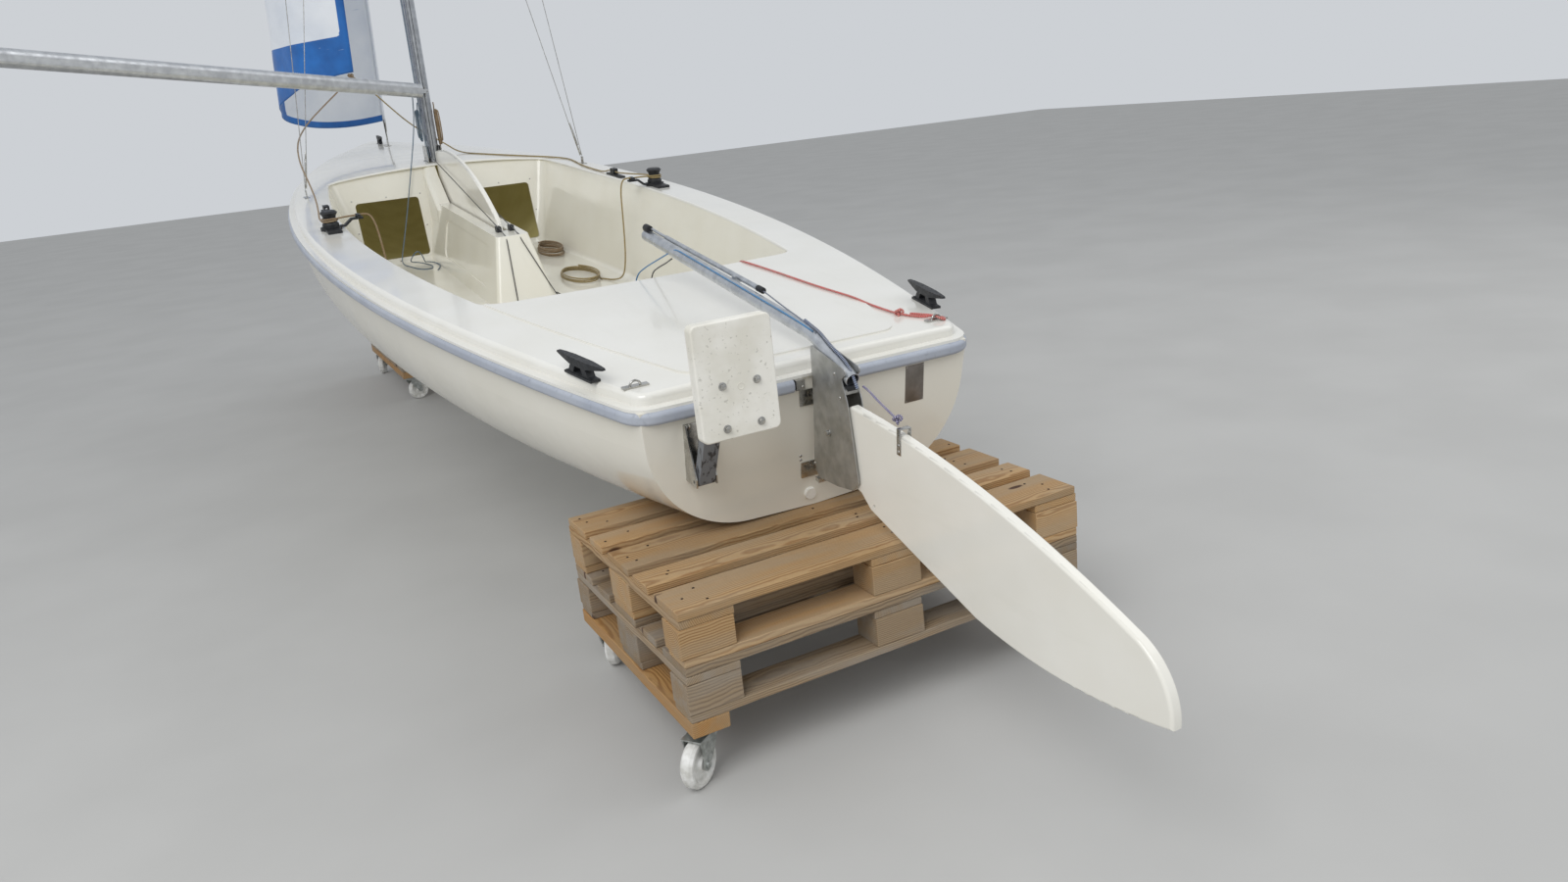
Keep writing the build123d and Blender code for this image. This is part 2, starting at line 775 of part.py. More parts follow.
with BuildPart() as gudgeons:
    for height in gudgeon_heights:
        with BuildSketch(transom_plane):
            with Locations((-18, height)):
                Rectangle(60, 46)
        extrude(amount=4)
        with BuildSketch(axis_plane(height - 7)):
            with Locations((0, pintle_out / 2)):
                Rectangle(14, pintle_out)
            Circle(11)
            Circle(5.2, mode=Mode.SUBTRACT)
        extrude(amount=14)
finish(seated(gudgeons.part, hull_outside), "rudder_gudgeons")

with BuildPart() as rudder_pintles:
    for height in gudgeon_heights:
        with BuildSketch(axis_plane(height - 26)):
            Circle(5)
        extrude(amount=52)
        for low in (-24, 12):
            with BuildSketch(axis_plane(height + low)):
                with Locations((0, -4)):
                    Rectangle(2 * cheek_inner, 20)
            extrude(amount=12)
finish(rudder_pintles.part, "rudder_pintles")

cheek_outline = [
    (-85, 94), (-265, 65), (-235, 38), (-260, -17), (-286, -134), (-304, -224), (-280, -253),
    (-200, -270), (-104, -279), (-82, -245), (-90, -68), (-87, 41),
]
with BuildPart() as rudder_cheeks:
    for side in (-1, 1):
        add(side_shape(cheek_outline, cheek_thick, side * (cheek_inner + cheek_thick / 2), 9))
    add(side_shape([(-250, 13), (-110, 70), (-110, 52), (-246, -3)], 2 * cheek_inner))
finish(rudder_cheeks.part, "rudder_cheeks")

with BuildPart() as tiller:
    with BuildLine(profile) as path:
        FilletPolyline((-253, 37), (-65, 112), (1051, 193), radius=150)
    with BuildSketch(Plane(origin=path.line @ 0, z_dir=path.line % 0)):
        Circle(19.4)
        Circle(17, mode=Mode.SUBTRACT)
    sweep()
finish(tiller.part, "tiller")

with BuildPart() as tiller_extension:
    add(rod((30, 271, 155), (30, 952, 196), 8))
    add(rod((30, 945, 196), (4, 1040, 222), 5))
    add(rod((0, 1040, 200), (0, 1040, 228), 7))
    with Locations(at(22, 420, 160)):
        Box(20, 18, 20)
finish(seated(tiller_extension.part, tiller.part, rod((0, -65, 112), (0, 1051, 193), 18)), "tiller_extension")

blade_half, blade_round = 14, 7
with BuildPart() as rudder_blade:
    with BuildSketch(profile):
        with BuildLine():
            Polyline((-115, -129), (-140, -85), (-200, -60), (-262, -28))
            ThreePointArc((-262, -28), (-763, -71), (-1242, -188))
            ThreePointArc((-1242, -188), (-1319, -251), (-1344, -332))
            ThreePointArc((-1344, -332), (-1088, -387), (-771, -387))
            Polyline((-771, -387), (-343, -287), (-300, -255), (-200, -235), (-140, -190), (-115, -129))
        make_face()
    extrude(amount=blade_half, both=True)
    for face in rudder_blade.faces().sort_by(Axis.X)[:: len(rudder_blade.faces()) - 1]:
        fillet(face.edges(), blade_round)
    with Locations(profile.location * Location((-170, -129, 0))):
        Cylinder(6.3, 60, mode=Mode.SUBTRACT)
    with Locations(profile.location * Location((-362, -268, 0))):
        Cylinder(5.5, 60, mode=Mode.SUBTRACT)
finish(rudder_blade.part, "rudder_blade")
finish(rod((-cheek_inner, -170, -129), (cheek_inner, -170, -129), 6), "blade_bolt")

# Transom fittings: latch in the rail's gap, drain plug and outboard bracket
with BuildPart() as latch:
    with Locations(at(-54, transom - 8, -14)):
        Box(26, 24, 28)
finish(seated(latch.part, hull_outside), "transom_latch")
with BuildPart() as plug:
    with BuildSketch(transom_plane):
        with Locations((-21, -350)):
            Circle(18)
    extrude(amount=9, taper=12)
finish(plug.part, "drain_plug")

bracket_u = -358
base_low, base_high = -212, -54
hinge = (50, -195)
with BuildPart() as bracket_base:
    with BuildSketch(transom_plane):
        with Locations((bracket_u, (base_low + base_high) / 2)):
            Rectangle(60, base_high - base_low)
    extrude(amount=4)
    for side in (-1, 1):
        wall_foot = transom_plane.from_local_coords((bracket_u + side * 28 + 2, 0, 0))
        with BuildSketch(Plane(wall_foot, x_dir=transom_plane.z_dir, z_dir=(-1, 0, 0))):
            with BuildLine():
                Polyline((0, base_high), (14, base_high), (64, -185), (64, -208), (0, base_low), close=True)
            make_face()
            with Locations(hinge):
                Circle(4.2, mode=Mode.SUBTRACT)
        extrude(amount=4)
finish(bracket_base.part, "outboard_bracket_base")

hinge_point = transom_plane.from_local_coords((bracket_u, hinge[1], hinge[0]))
pad_pivot = Vector(bracket_u, -208, 905)
arm_dir = (pad_pivot - hinge_point).normalized()
arm_plane = Plane(origin=hinge_point, x_dir=arm_dir, z_dir=(1, 0, 0))
arm_length = (pad_pivot - hinge_point).length
with BuildPart() as outboard_arm:
    with BuildSketch(arm_plane):
        with Locations((arm_length / 2, 0)):
            SlotOverall(arm_length + 28, 28)
    extrude(amount=22, both=True)
    with BuildSketch(arm_plane):
        with Locations((arm_length / 2, -6)):
            Rectangle(arm_length + 40, 32)
        with Locations((arm_length, 0)):
            Rectangle(64, 40)
    extrude(amount=18, both=True, mode=Mode.SUBTRACT)
    with Locations(arm_plane.location, arm_plane.location * Location((arm_length, 0, 0))):
        Cylinder(4, 52)
finish(outboard_arm.part, "outboard_arm")

with BuildPart() as outboard_pad:
    with BuildSketch(Plane(origin=(-320.5, -266, 953), x_dir=(1, 0, 0), z_dir=(0, 1, 0))):
        RectangleRounded(209, 286, 16)
    extrude(amount=32)
    fillet(outboard_pad.faces().sort_by(Axis.Y)[0].edges(), 5)
    with BuildSketch(Plane(origin=pad_pivot - Vector(14, 0, 0), x_dir=(0, 1, 0), z_dir=(1, 0, 0))):
        with Locations((-13, 0)):
            Rectangle(26, 22)
        Circle(11)
        Circle(4.3, mode=Mode.SUBTRACT)
    extrude(amount=28)
finish(outboard_pad.part, "outboard_pad")


# Pallets. The deck boards run along the long side. Columns: place across, width
top_boards = [(-327.5, 145), (-163.75, 100), (0, 145), (163.75, 100), (327.5, 145)]
foot_boards = [(-350, 100), (0, 145), (350, 100)]


def pallet(centre_y, bottom, turn):
    place = Location((0, centre_y, bottom), (0, 0, turn))
    with BuildPart() as body:
        for offset_y, width in foot_boards:
            with Locations(place * Location((0, offset_y, board_thick / 2))):
                Box(pallet_long, width, board_thick)
            for offset_x in (-527.5, 0, 527.5):
                with Locations(place * Location((offset_x, offset_y, board_thick + block_high / 2))):
                    Box(145, width, block_high)
        for offset_x in (-527.5, 0, 527.5):
            with Locations(place * Location((offset_x, 0, 1.5 * board_thick + block_high))):
                Box(145, pallet_short, board_thick)
        for offset_y, width in top_boards:
            with Locations(place * Location((0, offset_y, 2.5 * board_thick + block_high))):
                Box(pallet_long, width, board_thick)
    return body.part


pallet_low = castor_height + plank_thick
for stack_name, stack in (("aft", aft_stack), ("fore", fore_stack)):
    turn = 0 if stack["along_x"] == pallet_long else 90
    for level in range(stack["count"]):
        body = pallet(stack["y"], pallet_low + level * pallet_height, turn)
        finish(body, f"pallet_{stack_name}_{level + 1}")

# Planks under the lowest pallets, with a swivel castor near each corner
castor_places = []
planks = []
for stack in (aft_stack, fore_stack):
    for side in (-1, 1):
        x = side * (stack["along_x"] - plank_wide) / 2
        with BuildPart() as plank_part:
            with Locations((x, stack["y"], castor_height + plank_thick / 2)):
                Box(plank_wide, stack["along_y"], plank_thick)
        planks.append(plank_part.part)
        for end in (-1, 1):
            corner_y = stack["y"] + end * (stack["along_y"] / 2 - 62)
            castor_places.append((side * (stack["along_x"] / 2 - 50), corner_y))
finish(Compound(children=planks), "castor_planks")

wheel_radius, castor_trail = 62.5, 40
# A wheel's section from its bore to its tread. Columns: radius and half width
wheel_section = [(6.3, 19), (17, 19), (21, 11), (45, 11), (49, 17), (56, 17), (wheel_radius, 10)]
plates = []
for x, y in castor_places:
    with BuildPart() as plate:
        with Locations((x, y, castor_height - 2)):
            Box(84, 104, 4)
        with Locations((x, y, castor_height - 7)):
            Cylinder(30, 6)
    plates.append(plate.part)
finish(Compound(children=plates), "castor_plates")

castor_turns = [215, 60, 130, 300, 20, 250, 160, 80]
for number, ((x, y), turn) in enumerate(zip(castor_places, castor_turns), 1):
    top = Location((x, y, 0), (0, 0, turn))
    with BuildPart() as fork:
        with Locations(top * Location((0, 0, 136))):
            Cylinder(28, 6)
        with Locations(top * Location((castor_trail / 2, 0, 131))):
            Box(80, 56, 4)
        for side in (-1, 1):
            inner = Plane(origin=(0, side * 26 - 2, 0), x_dir=(1, 0, 0), z_dir=(0, 1, 0))
            with BuildSketch(Plane(top) * inner):
                with BuildLine():
                    ThreePointArc((26, -60), (castor_trail, -46), (54, -60))
                    ThreePointArc((54, -60), (52, -96), (60, -133))
                    Line((60, -133), (-20, -133))
                    ThreePointArc((-20, -133), (-2, -92), (26, -60))
                make_face()
            extrude(amount=4)
            with Locations(top * Location((castor_trail, side * 30.5, wheel_radius), (90, 0, 0))):
                Cylinder(9, 5)
        with Locations(top * Location((castor_trail, 0, wheel_radius), (90, 0, 0))):
            Cylinder(6, 58)
    finish(fork.part, f"castor_fork_{number}")
    axle = top * Location((castor_trail, 0, wheel_radius))
    with BuildPart() as wheel:
        with BuildSketch(Plane(axle)):
            with BuildLine():
                Polyline(*wheel_section, *[(r, -half) for r, half in reversed(wheel_section)], close=True)
            make_face()
        revolve(axis=Axis(axle.position, Plane(axle).y_dir))
    finish(wheel.part, f"castor_wheel_{number}")
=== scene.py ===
import bpy
import bmesh
import json
import random
from math import atan2, copysign, cos, pi, radians, sin
from mathutils import Matrix, Vector, noise

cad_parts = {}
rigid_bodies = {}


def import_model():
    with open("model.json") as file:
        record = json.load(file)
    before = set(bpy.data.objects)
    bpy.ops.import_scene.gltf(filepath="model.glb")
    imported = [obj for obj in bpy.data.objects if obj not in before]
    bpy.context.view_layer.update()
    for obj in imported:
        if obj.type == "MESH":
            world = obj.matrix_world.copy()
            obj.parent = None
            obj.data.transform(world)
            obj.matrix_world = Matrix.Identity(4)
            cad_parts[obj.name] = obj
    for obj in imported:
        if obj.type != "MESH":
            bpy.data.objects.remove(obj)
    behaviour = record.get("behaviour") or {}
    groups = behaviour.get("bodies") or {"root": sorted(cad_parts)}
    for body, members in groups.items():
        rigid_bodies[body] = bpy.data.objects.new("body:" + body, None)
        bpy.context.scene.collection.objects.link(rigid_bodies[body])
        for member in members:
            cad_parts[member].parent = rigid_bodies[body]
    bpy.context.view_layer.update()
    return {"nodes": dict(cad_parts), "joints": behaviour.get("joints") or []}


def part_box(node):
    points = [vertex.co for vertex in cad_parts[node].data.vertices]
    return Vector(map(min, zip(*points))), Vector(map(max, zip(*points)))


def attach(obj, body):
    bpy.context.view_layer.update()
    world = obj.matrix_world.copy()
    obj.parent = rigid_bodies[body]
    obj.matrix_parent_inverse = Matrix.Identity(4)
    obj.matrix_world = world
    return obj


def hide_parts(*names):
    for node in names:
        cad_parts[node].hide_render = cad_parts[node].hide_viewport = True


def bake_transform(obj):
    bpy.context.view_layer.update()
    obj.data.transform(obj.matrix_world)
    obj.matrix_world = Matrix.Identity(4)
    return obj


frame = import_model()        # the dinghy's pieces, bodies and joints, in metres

nodes = frame["nodes"]
joints = {joint["name"]: joint for joint in frame["joints"]}
mm = 0.001
noise.seed_set(7)        # or else the boards come out a little different each run

# The boat's own frame: across to starboard, along to the bow and up from the deck edge
boatUp = Vector(joints["boom_swing"]["axis"])
boatSide = Vector((1, 0, 0))
boatAhead = boatUp.cross(boatSide)
gooseneck = Vector(joints["boom_swing"]["pos_m"])
gooseneckPlace = (0, 4245, 499)


def boatPoint(across, along, up):
    # A point given in the boat's own millimetres
    return (
        gooseneck
        + boatSide * (across - gooseneckPlace[0]) * mm
        + boatAhead * (along - gooseneckPlace[1]) * mm
        + boatUp * (up - gooseneckPlace[2]) * mm
    )


# Camera, where the photographer stood
camera = dict(
    place=(-0.5743, -5.1365, 1.577),
    ahead=(0.431, 0.852, -0.297),
    right=(0.873, -0.477, -0.101),
    lens=25.44,
    sensor=36,
)


def placeCamera():
    data = bpy.data.cameras.new("camera")
    data.lens = camera["lens"]
    data.sensor_width = camera["sensor"]
    data.clip_end = 200
    holder = bpy.data.objects.new("camera", data)
    bpy.context.scene.collection.objects.link(holder)
    back = -Vector(camera["ahead"]).normalized()
    right = Vector(camera["right"])
    right = (right - back * right.dot(back)).normalized()
    turn = Matrix((right, back.cross(right), back)).transposed().to_4x4()
    holder.matrix_world = Matrix.Translation(camera["place"]) @ turn
    bpy.context.scene.camera = holder


placeCamera()
print("camera placed")


# Helpers for materials
def linear(hexColour):
    parts = [int(hexColour[k:k + 2], 16) / 255 for k in (1, 3, 5)]
    return [p / 12.92 if p <= 0.04045 else ((p + 0.055) / 1.055) ** 2.4 for p in parts] + [1]


def newMaterial(name, colour, roughness, **sockets):
    material = bpy.data.materials.new(name)
    material.use_nodes = True
    shader = material.node_tree.nodes["Principled BSDF"]
    shader.inputs["Base Color"].default_value = linear(colour)
    shader.inputs["Roughness"].default_value = roughness
    material.diffuse_color = linear(colour)
    for socket, value in sockets.items():
        shader.inputs[socket.replace("_", " ")].default_value = value
    return material


def addNode(material, kind, values=None, links=None, **settings):
    node = material.node_tree.nodes.new("ShaderNode" + kind)
    for key, value in settings.items():
        setattr(node, key, value)
    for key, value in (values or {}).items():
        node.inputs[key].default_value = value
    for key, socket in (links or {}).items():
        material.node_tree.links.new(socket, node.inputs[key])
    return node


def toShader(material, socket, output):
    shader = material.node_tree.nodes["Principled BSDF"]
    material.node_tree.links.new(output, shader.inputs[socket])


def placeOf(material, stretch=(1, 1, 1)):
    # Object coordinates in metres, drawn out along an axis where the stretch is under 1
    coords = addNode(material, "TexCoord").outputs["Object"]
    mapping = addNode(material, "Mapping", {"Scale": stretch}, {"Vector": coords})
    return mapping.outputs["Vector"]


def patches(material, place, size, low=0.0, high=1.0, detail=3.0, edges=(0.35, 0.65)):
    # Soft patches of about that size in millimetres, as a value from low to high
    cloud = addNode(material, "TexNoise", {"Scale": 1000 / size, "Detail": detail}, {"Vector": place})
    span = addNode(
        material,
        "MapRange",
        {"From Min": edges[0], "From Max": edges[1], "To Min": low, "To Max": high},
        {"Value": cloud.outputs["Fac"]},
    )
    return span.outputs["Result"]


def blendColours(material, amount, first, second):
    # Colours are hex values or the outputs of other nodes
    mix = addNode(material, "Mix", {}, {0: amount}, data_type="RGBA")
    for slot, colour in ((6, first), (7, second)):
        if isinstance(colour, str):
            mix.inputs[slot].default_value = linear(colour)
        else:
            material.node_tree.links.new(colour, mix.inputs[slot])
    return mix.outputs[2]


def relief(material, height, depth, strength=1.0, under=None):
    # Bumps of that depth in millimetres, on top of those under them
    links = {"Height": height}
    if under is not None:
        links["Normal"] = under
    bump = addNode(material, "Bump", {"Distance": depth * mm, "Strength": strength}, links)
    toShader(material, "Normal", bump.outputs["Normal"])
    return bump.outputs["Normal"]


def gelcoat(name, colour, stained, scuffed, wave=0.5):
    # Polyester gelcoat off a polished mould: glossy, a little uneven, dulled in patches
    material = newMaterial(name, colour, 0.2, Coat_Weight=0.35, Coat_Roughness=0.06)
    place = placeOf(material)
    faded = blendColours(material, patches(material, place, 260, 0, 0.4), colour, stained)
    streaks = placeOf(material, (1, 0.12, 0.6))
    marks = patches(material, streaks, 40, 0, 0.07, 3, (0.6, 0.75))
    toShader(material, "Base Color", blendColours(material, marks, faded, scuffed))
    toShader(material, "Roughness", patches(material, place, 240, 0.14, 0.24, 1))
    swell = patches(material, place, 300, 0, 1, 1, (0.2, 0.8))
    relief(material, swell, 2 * wave)
    return material


hullGelcoat = gelcoat("ivoryGelcoat", "#e6e2d6", "#dfdacb", "#cbc5b6")
deckGelcoat = gelcoat("whiteGelcoat", "#e9e7e0", "#e0ddd2", "#c6c2b6", 0.35)
cockpitGelcoat = gelcoat("creamGelcoat", "#e9e6da", "#e0dbcb", "#c9c3b0")
boardGelcoat = gelcoat("boardGelcoat", "#eeebe2", "#e3dfd2", "#bfb9a8", 0.2)


def rawLaminate():
    # The unpainted inside of glass fibre and resin: olive yellow, woven and dull
    material = newMaterial("rawLaminate", "#dbd49e", 0.5)
    place = placeOf(material)
    cloudy = blendColours(material, patches(material, place, 140), "#ddd6a2", "#c9c085")
    weave = addNode(material, "TexWave", {"Scale": 60, "Distortion": 2}, {"Vector": place})
    shade = blendColours(material, weave.outputs["Fac"], cloudy, "#cabf86")
    toShader(material, "Base Color", shade)
    relief(material, weave.outputs["Fac"], 0.5, 0.6)
    # Daylight comes through the thin shell and tints it
    toShader(material, "Emission Color", shade)
    material.node_tree.nodes["Principled BSDF"].inputs["Emission Strength"].default_value = 0.05
    return material


def patchyMaterial(name, colour, roughness, ground, layers, shine, bumps, **sockets):
    # A ground colour with layers of patches on it, patches of roughness and bumps of a depth
    material = newMaterial(name, colour, roughness, **sockets)
    place = placeOf(material)
    for layerColour, patch in layers:
        ground = blendColours(material, patches(material, place, *patch), ground, layerColour)
    toShader(material, "Base Color", ground)
    toShader(material, "Roughness", patches(material, place, *shine))
    depth, patch = bumps
    relief(material, patches(material, place, *patch), depth)
    return material


def brushedMetal(name, colour, dull, roughness, grain=(1, 0.04, 1), size=1.2):
    # Rolled or drawn metal: fine lines along the grain, dull patches from handling
    material = newMaterial(name, colour, roughness, Metallic=1.0)
    place = placeOf(material)
    lines = patches(material, placeOf(material, grain), size, 0, 1, 2, (0.2, 0.8))
    cloudy = blendColours(material, patches(material, place, 35, 0, 1), colour, dull)
    toShader(material, "Base Color", cloudy)
    dull = patches(material, place, 22, roughness - 0.08, roughness + 0.12, 4)
    toShader(material, "Roughness", dull)
    relief(material, lines, 0.02, 0.7)
    return material


def scuffedPaint():
    # Grey powder coat on the bracket's arm, worn to dark metal at its edges
    material = newMaterial("scuffedPaint", "#6f7276", 0.45)
    place = placeOf(material)
    worn = patches(material, placeOf(material, (1, 1, 0.4)), 12, 0, 1, 6, (0.56, 0.62))
    toShader(material, "Base Color", blendColours(material, worn, "#74777b", "#3c3d40"))
    relief(material, worn, 0.15)
    return material


stainless = brushedMetal("drawnStainless", "#c8c7c3", "#a9a7a2", 0.24)
mastAluminium = brushedMetal("anodisedAluminium", "#bcbfc3", "#a8abb0", 0.36, (1, 1, 0.03), 1.5)
boomAluminium = brushedMetal("boomAluminium", "#d4d6d8", "#c0c2c5", 0.4, (0.05, 0.05, 1), 1.5)
cheekAluminium = brushedMetal("rolledPlate", "#c3c3c1", "#adadaa", 0.42, (1, 1, 0.05), 1.4)
tillerAluminium = brushedMetal("tillerAluminium", "#cfd2d6", "#b9bcc0", 0.33, (1, 0.04, 1), 1.3)
paintedArm = scuffedPaint()
laminate = rawLaminate()

# Glass filled nylon from a mould, with a fine spark texture
blackNylon = patchyMaterial(
    "blackNylon", "#17181a", 0.5, "#17181a", [("#24262a", (18, 0, 0.8))],
    (9, 0.4, 0.62), (0.03, (0.9, 0, 1, 2)),
)
# White cast nylon wheels, grey where they roll
whiteNylon = patchyMaterial(
    "castNylon", "#e6e5e0", 0.38, "#e9e8e4", [("#bdbbb3", (22, 0, 0.75, 5))],
    (12, 0.3, 0.6), (0.08, (4, 0, 1, 4)),
)
# Electroplated zinc: pale grey with a faint cloud, dull and dusty
zinc = patchyMaterial(
    "zincPlate", "#b9bcb8", 0.42, "#c2c5c2", [("#9ea19d", (16,))], (8, 0.34, 0.6, 4), (0.03, (1.5, 0, 1, 3)),
    Metallic=0.9,
)
# Cream white moulded board, weathered matt, with small pocks and grey marks
pocks = (9, 0, 0.55, 6, (0.63, 0.7))
whitePad = patchyMaterial(
    "padPlastic", "#e9e6dc", 0.45, "#ece9e0", [("#dcd8cb", (70, 0, 0.8)), ("#a8a498", pocks)],
    (30, 0.36, 0.58), (-0.25, pocks),
)
# Extruded soft vinyl, blue grey, matt from weather
dirt = (14, 0, 0.4, 5, (0.58, 0.75))
greyVinyl = patchyMaterial(
    "railVinyl", "#a3a9b5", 0.42, "#a3a9b5", [("#b4b9c2", (120, 0, 0.7)), ("#7d818a", dirt)],
    (60, 0.34, 0.55), (0.03, (5, 0, 1, 2)),
)

cadFinishes = {
    hullGelcoat: ["hull_shell"],
    deckGelcoat: ["deck_moulding"],
    cockpitGelcoat: ["cockpit_liner", "centreboard_case"],
    boardGelcoat: ["centreboard", "rudder_blade"],
    greyVinyl: ["rub_rail"],
    blackNylon: [
        "aft_cleats", "bow_cleat", "sheet_fairleads", "winch_drums", "winch_bases", "case_clam_cleats",
    ],
    stainless: [
        "aft_eye_straps", "chainplates", "bow_fitting", "shrouds", "forestay", "rudder_gudgeons",
        "rudder_pintles", "blade_bolt", "transom_latch", "mast_step", "gooseneck_toggle",
        "outboard_bracket_base",
    ],
    mastAluminium: ["mast", "spreaders"],
    boomAluminium: ["boom"],
    cheekAluminium: ["rudder_cheeks"],
    tillerAluminium: ["tiller", "tiller_extension"],
    paintedArm: ["outboard_arm"],
    whitePad: ["outboard_pad", "drain_plug"],
    zinc: ["castor_plates"] + [f"castor_fork_{k}" for k in range(1, 9)],
    whiteNylon: [f"castor_wheel_{k}" for k in range(1, 9)],
}


def finishCadNodes():
    for material, names in cadFinishes.items():
        for name in names:
            mesh = nodes[name].data
            mesh.materials.clear()
            mesh.materials.append(material)


def laminateInside(name, isInside):
    # Gives the faces that only show through the lockers the look of raw laminate
    mesh = nodes[name].data
    mesh.materials.append(laminate)
    for face in mesh.polygons:
        if isInside(face):
            face.material_index = 1


def isInnerSkin(face):
    # Faces that look at the boat's middle line, forward of the transom's own skin
    inward = boatPoint(0, 0, -150) - face.center
    inward -= boatAhead * inward.dot(boatAhead)
    along = (face.center - boatPoint(0, 0, 0)).dot(boatAhead)
    return along > 0.02 and face.normal.dot(inward) > 0


finishCadNodes()
laminateInside("hull_shell", isInnerSkin)
laminateInside("deck_moulding", lambda face: face.normal.dot(boatUp) < -0.5)
print("materials on", sum(len(names) for names in cadFinishes.values()), "pieces")


# Helpers for modelling
def selectOnly(*pieces):
    for other in bpy.context.view_layer.objects:
        other.select_set(False)
    for piece in pieces:
        piece.select_set(True)
    if pieces:
        bpy.context.view_layer.objects.active = pieces[0]


def settle(piece):
    # Puts the piece's place, turn and size into its mesh
    selectOnly(piece)
    bpy.ops.object.transform_apply(location=True, rotation=True, scale=True)


def useModifier(piece, kind, **settings):
    selectOnly(piece)
    modifier = piece.modifiers.new(kind.lower(), kind)
    for key, value in settings.items():
        setattr(modifier, key, value)
    bpy.ops.object.modifier_apply(modifier=modifier.name)


def easeEdges(piece, offset, segments):
    selectOnly(piece)
    bpy.ops.object.mode_set(mode="EDIT")
    bpy.ops.mesh.select_all(action="SELECT")
    bpy.ops.mesh.bevel(offset=offset * mm, segments=segments, affect="EDGES")
    bpy.ops.object.mode_set(mode="OBJECT")


def pieceFrom(name, mesh):
    # Makes a piece of a bmesh that is built point by point
    data = bpy.data.meshes.new(name)
    mesh.to_mesh(data)
    mesh.free()
    piece = bpy.data.objects.new(name, data)
    bpy.context.scene.collection.objects.link(piece)
    return piece


def joined(pieces, name):
    selectOnly(*pieces)
    if len(pieces) > 1:
        bpy.ops.object.join()
    whole = bpy.context.view_layer.objects.active
    whole.name = name
    whole.data.name = name
    settle(whole)
    return whole


def paint(piece, material, smooth=None):
    piece.data.materials.clear()
    piece.data.materials.append(material)
    if smooth is not None:
        selectOnly(piece)
        bpy.ops.object.shade_smooth_by_angle(angle=radians(smooth))
    return piece


def fit(piece, body):
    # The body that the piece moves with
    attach(piece, body)
    return piece


# Pallets, board by board
pallet = dict(
    long=1200,
    short=800,
    boardThick=22,
    blockHigh=78,
    blockLong=145,
    topBoards=[(-327.5, 145), (-163.75, 100), (0, 145), (163.75, 100), (327.5, 145)],
    footBoards=[(-350, 100), (0, 145), (350, 100)],
    blockPlaces=[-527.5, 0, 527.5],
    edge=2.5,
    unevenness=1.6,
    edgeShare=1.4,
    faceShare=0.8,
    cutSpacing=90,
    besideGap=1.5,
    layerGap=0.4,
    shortened=0.994,        # of a board, so that the ends don't all line up
    slip=(2, 1.5),
    skew=0.15,
    wide=120,               # boards wider than this have three nails a row
    nailRadius=3.6,
    nailsPerWidth=3.6,
    nailSpread=(48, 6),
    nailHeights=(144, 0.4),
)


def sawnSoftwood(name, pale, dark, weathered, greyness):
    # Sawn pine: growth rings round a pith beside each board, fine fibres, knots and grey weather
    material = newMaterial(name, pale, 0.75)
    grain = addNode(material, "Attribute", attribute_name="grain").outputs["Vector"]
    tone = addNode(material, "Attribute", attribute_name="tone").outputs["Fac"]
    ringWidth = 5.0
    rings = addNode(
        material,
        "TexWave",
        {"Scale": 2 * pi / (20 * ringWidth * mm), "Distortion": 9, "Detail": 2, "Detail Scale": 0.12},
        {"Vector": grain},
        wave_type="RINGS",
        rings_direction="X",
    )
    ringLine = addNode(
        material, "MapRange", {"From Min": 0.35, "From Max": 1}, {"Value": rings.outputs["Fac"]}
    ).outputs["Result"]
    base = blendColours(material, ringLine, pale, dark)
    drawn = addNode(material, "Mapping", {"Scale": (0.04, 1, 1)}, {"Vector": grain}).outputs["Vector"]
    fibres = patches(material, drawn, 1.6, 0, 1, 3, (0.3, 0.7))
    base = blendColours(material, fibres, base, blendColours(material, fibres, dark, base))
    wide = addNode(material, "Mapping", {"Scale": (0.15, 1, 1)}, {"Vector": grain}).outputs["Vector"]
    weather = patches(material, wide, 60, 0, greyness, 5, (0.4, 0.62))
    base = blendColours(material, weather, base, weathered)
    knotPlace = addNode(material, "Mapping", {"Scale": (3.2, 9, 4)}, {"Vector": grain}).outputs["Vector"]
    knots = addNode(material, "TexVoronoi", {"Scale": 1}, {"Vector": knotPlace})
    knot = addNode(
        material, "MapRange", {"From Min": 0.09, "From Max": 0.06}, {"Value": knots.outputs["Distance"]}
    )
    base = blendColours(material, knot.outputs["Result"], base, "#4a2c17")
    shade = addNode(material, "HueSaturation", {}, {"Color": base, "Value": tone})
    toShader(material, "Base Color", shade.outputs["Color"])
    toShader(material, "Roughness", patches(material, drawn, 8, 0.62, 0.85))
    first = relief(material, ringLine, -0.35)
    relief(material, fibres, 0.4, 1, first)
    return material


newWood = sawnSoftwood("newSoftwood", "#c3a275", "#9a7347", "#a5947c", 0.5)
oldWood = sawnSoftwood("oldSoftwood", "#a38d70", "#7e6a52", "#93897c", 0.75)
plankWood = sawnSoftwood("plankSoftwood", "#b98f58", "#94693a", "#9b876b", 0.5)
nailSteel = brushedMetal("rustyNail", "#5b5048", "#46352a", 0.6)


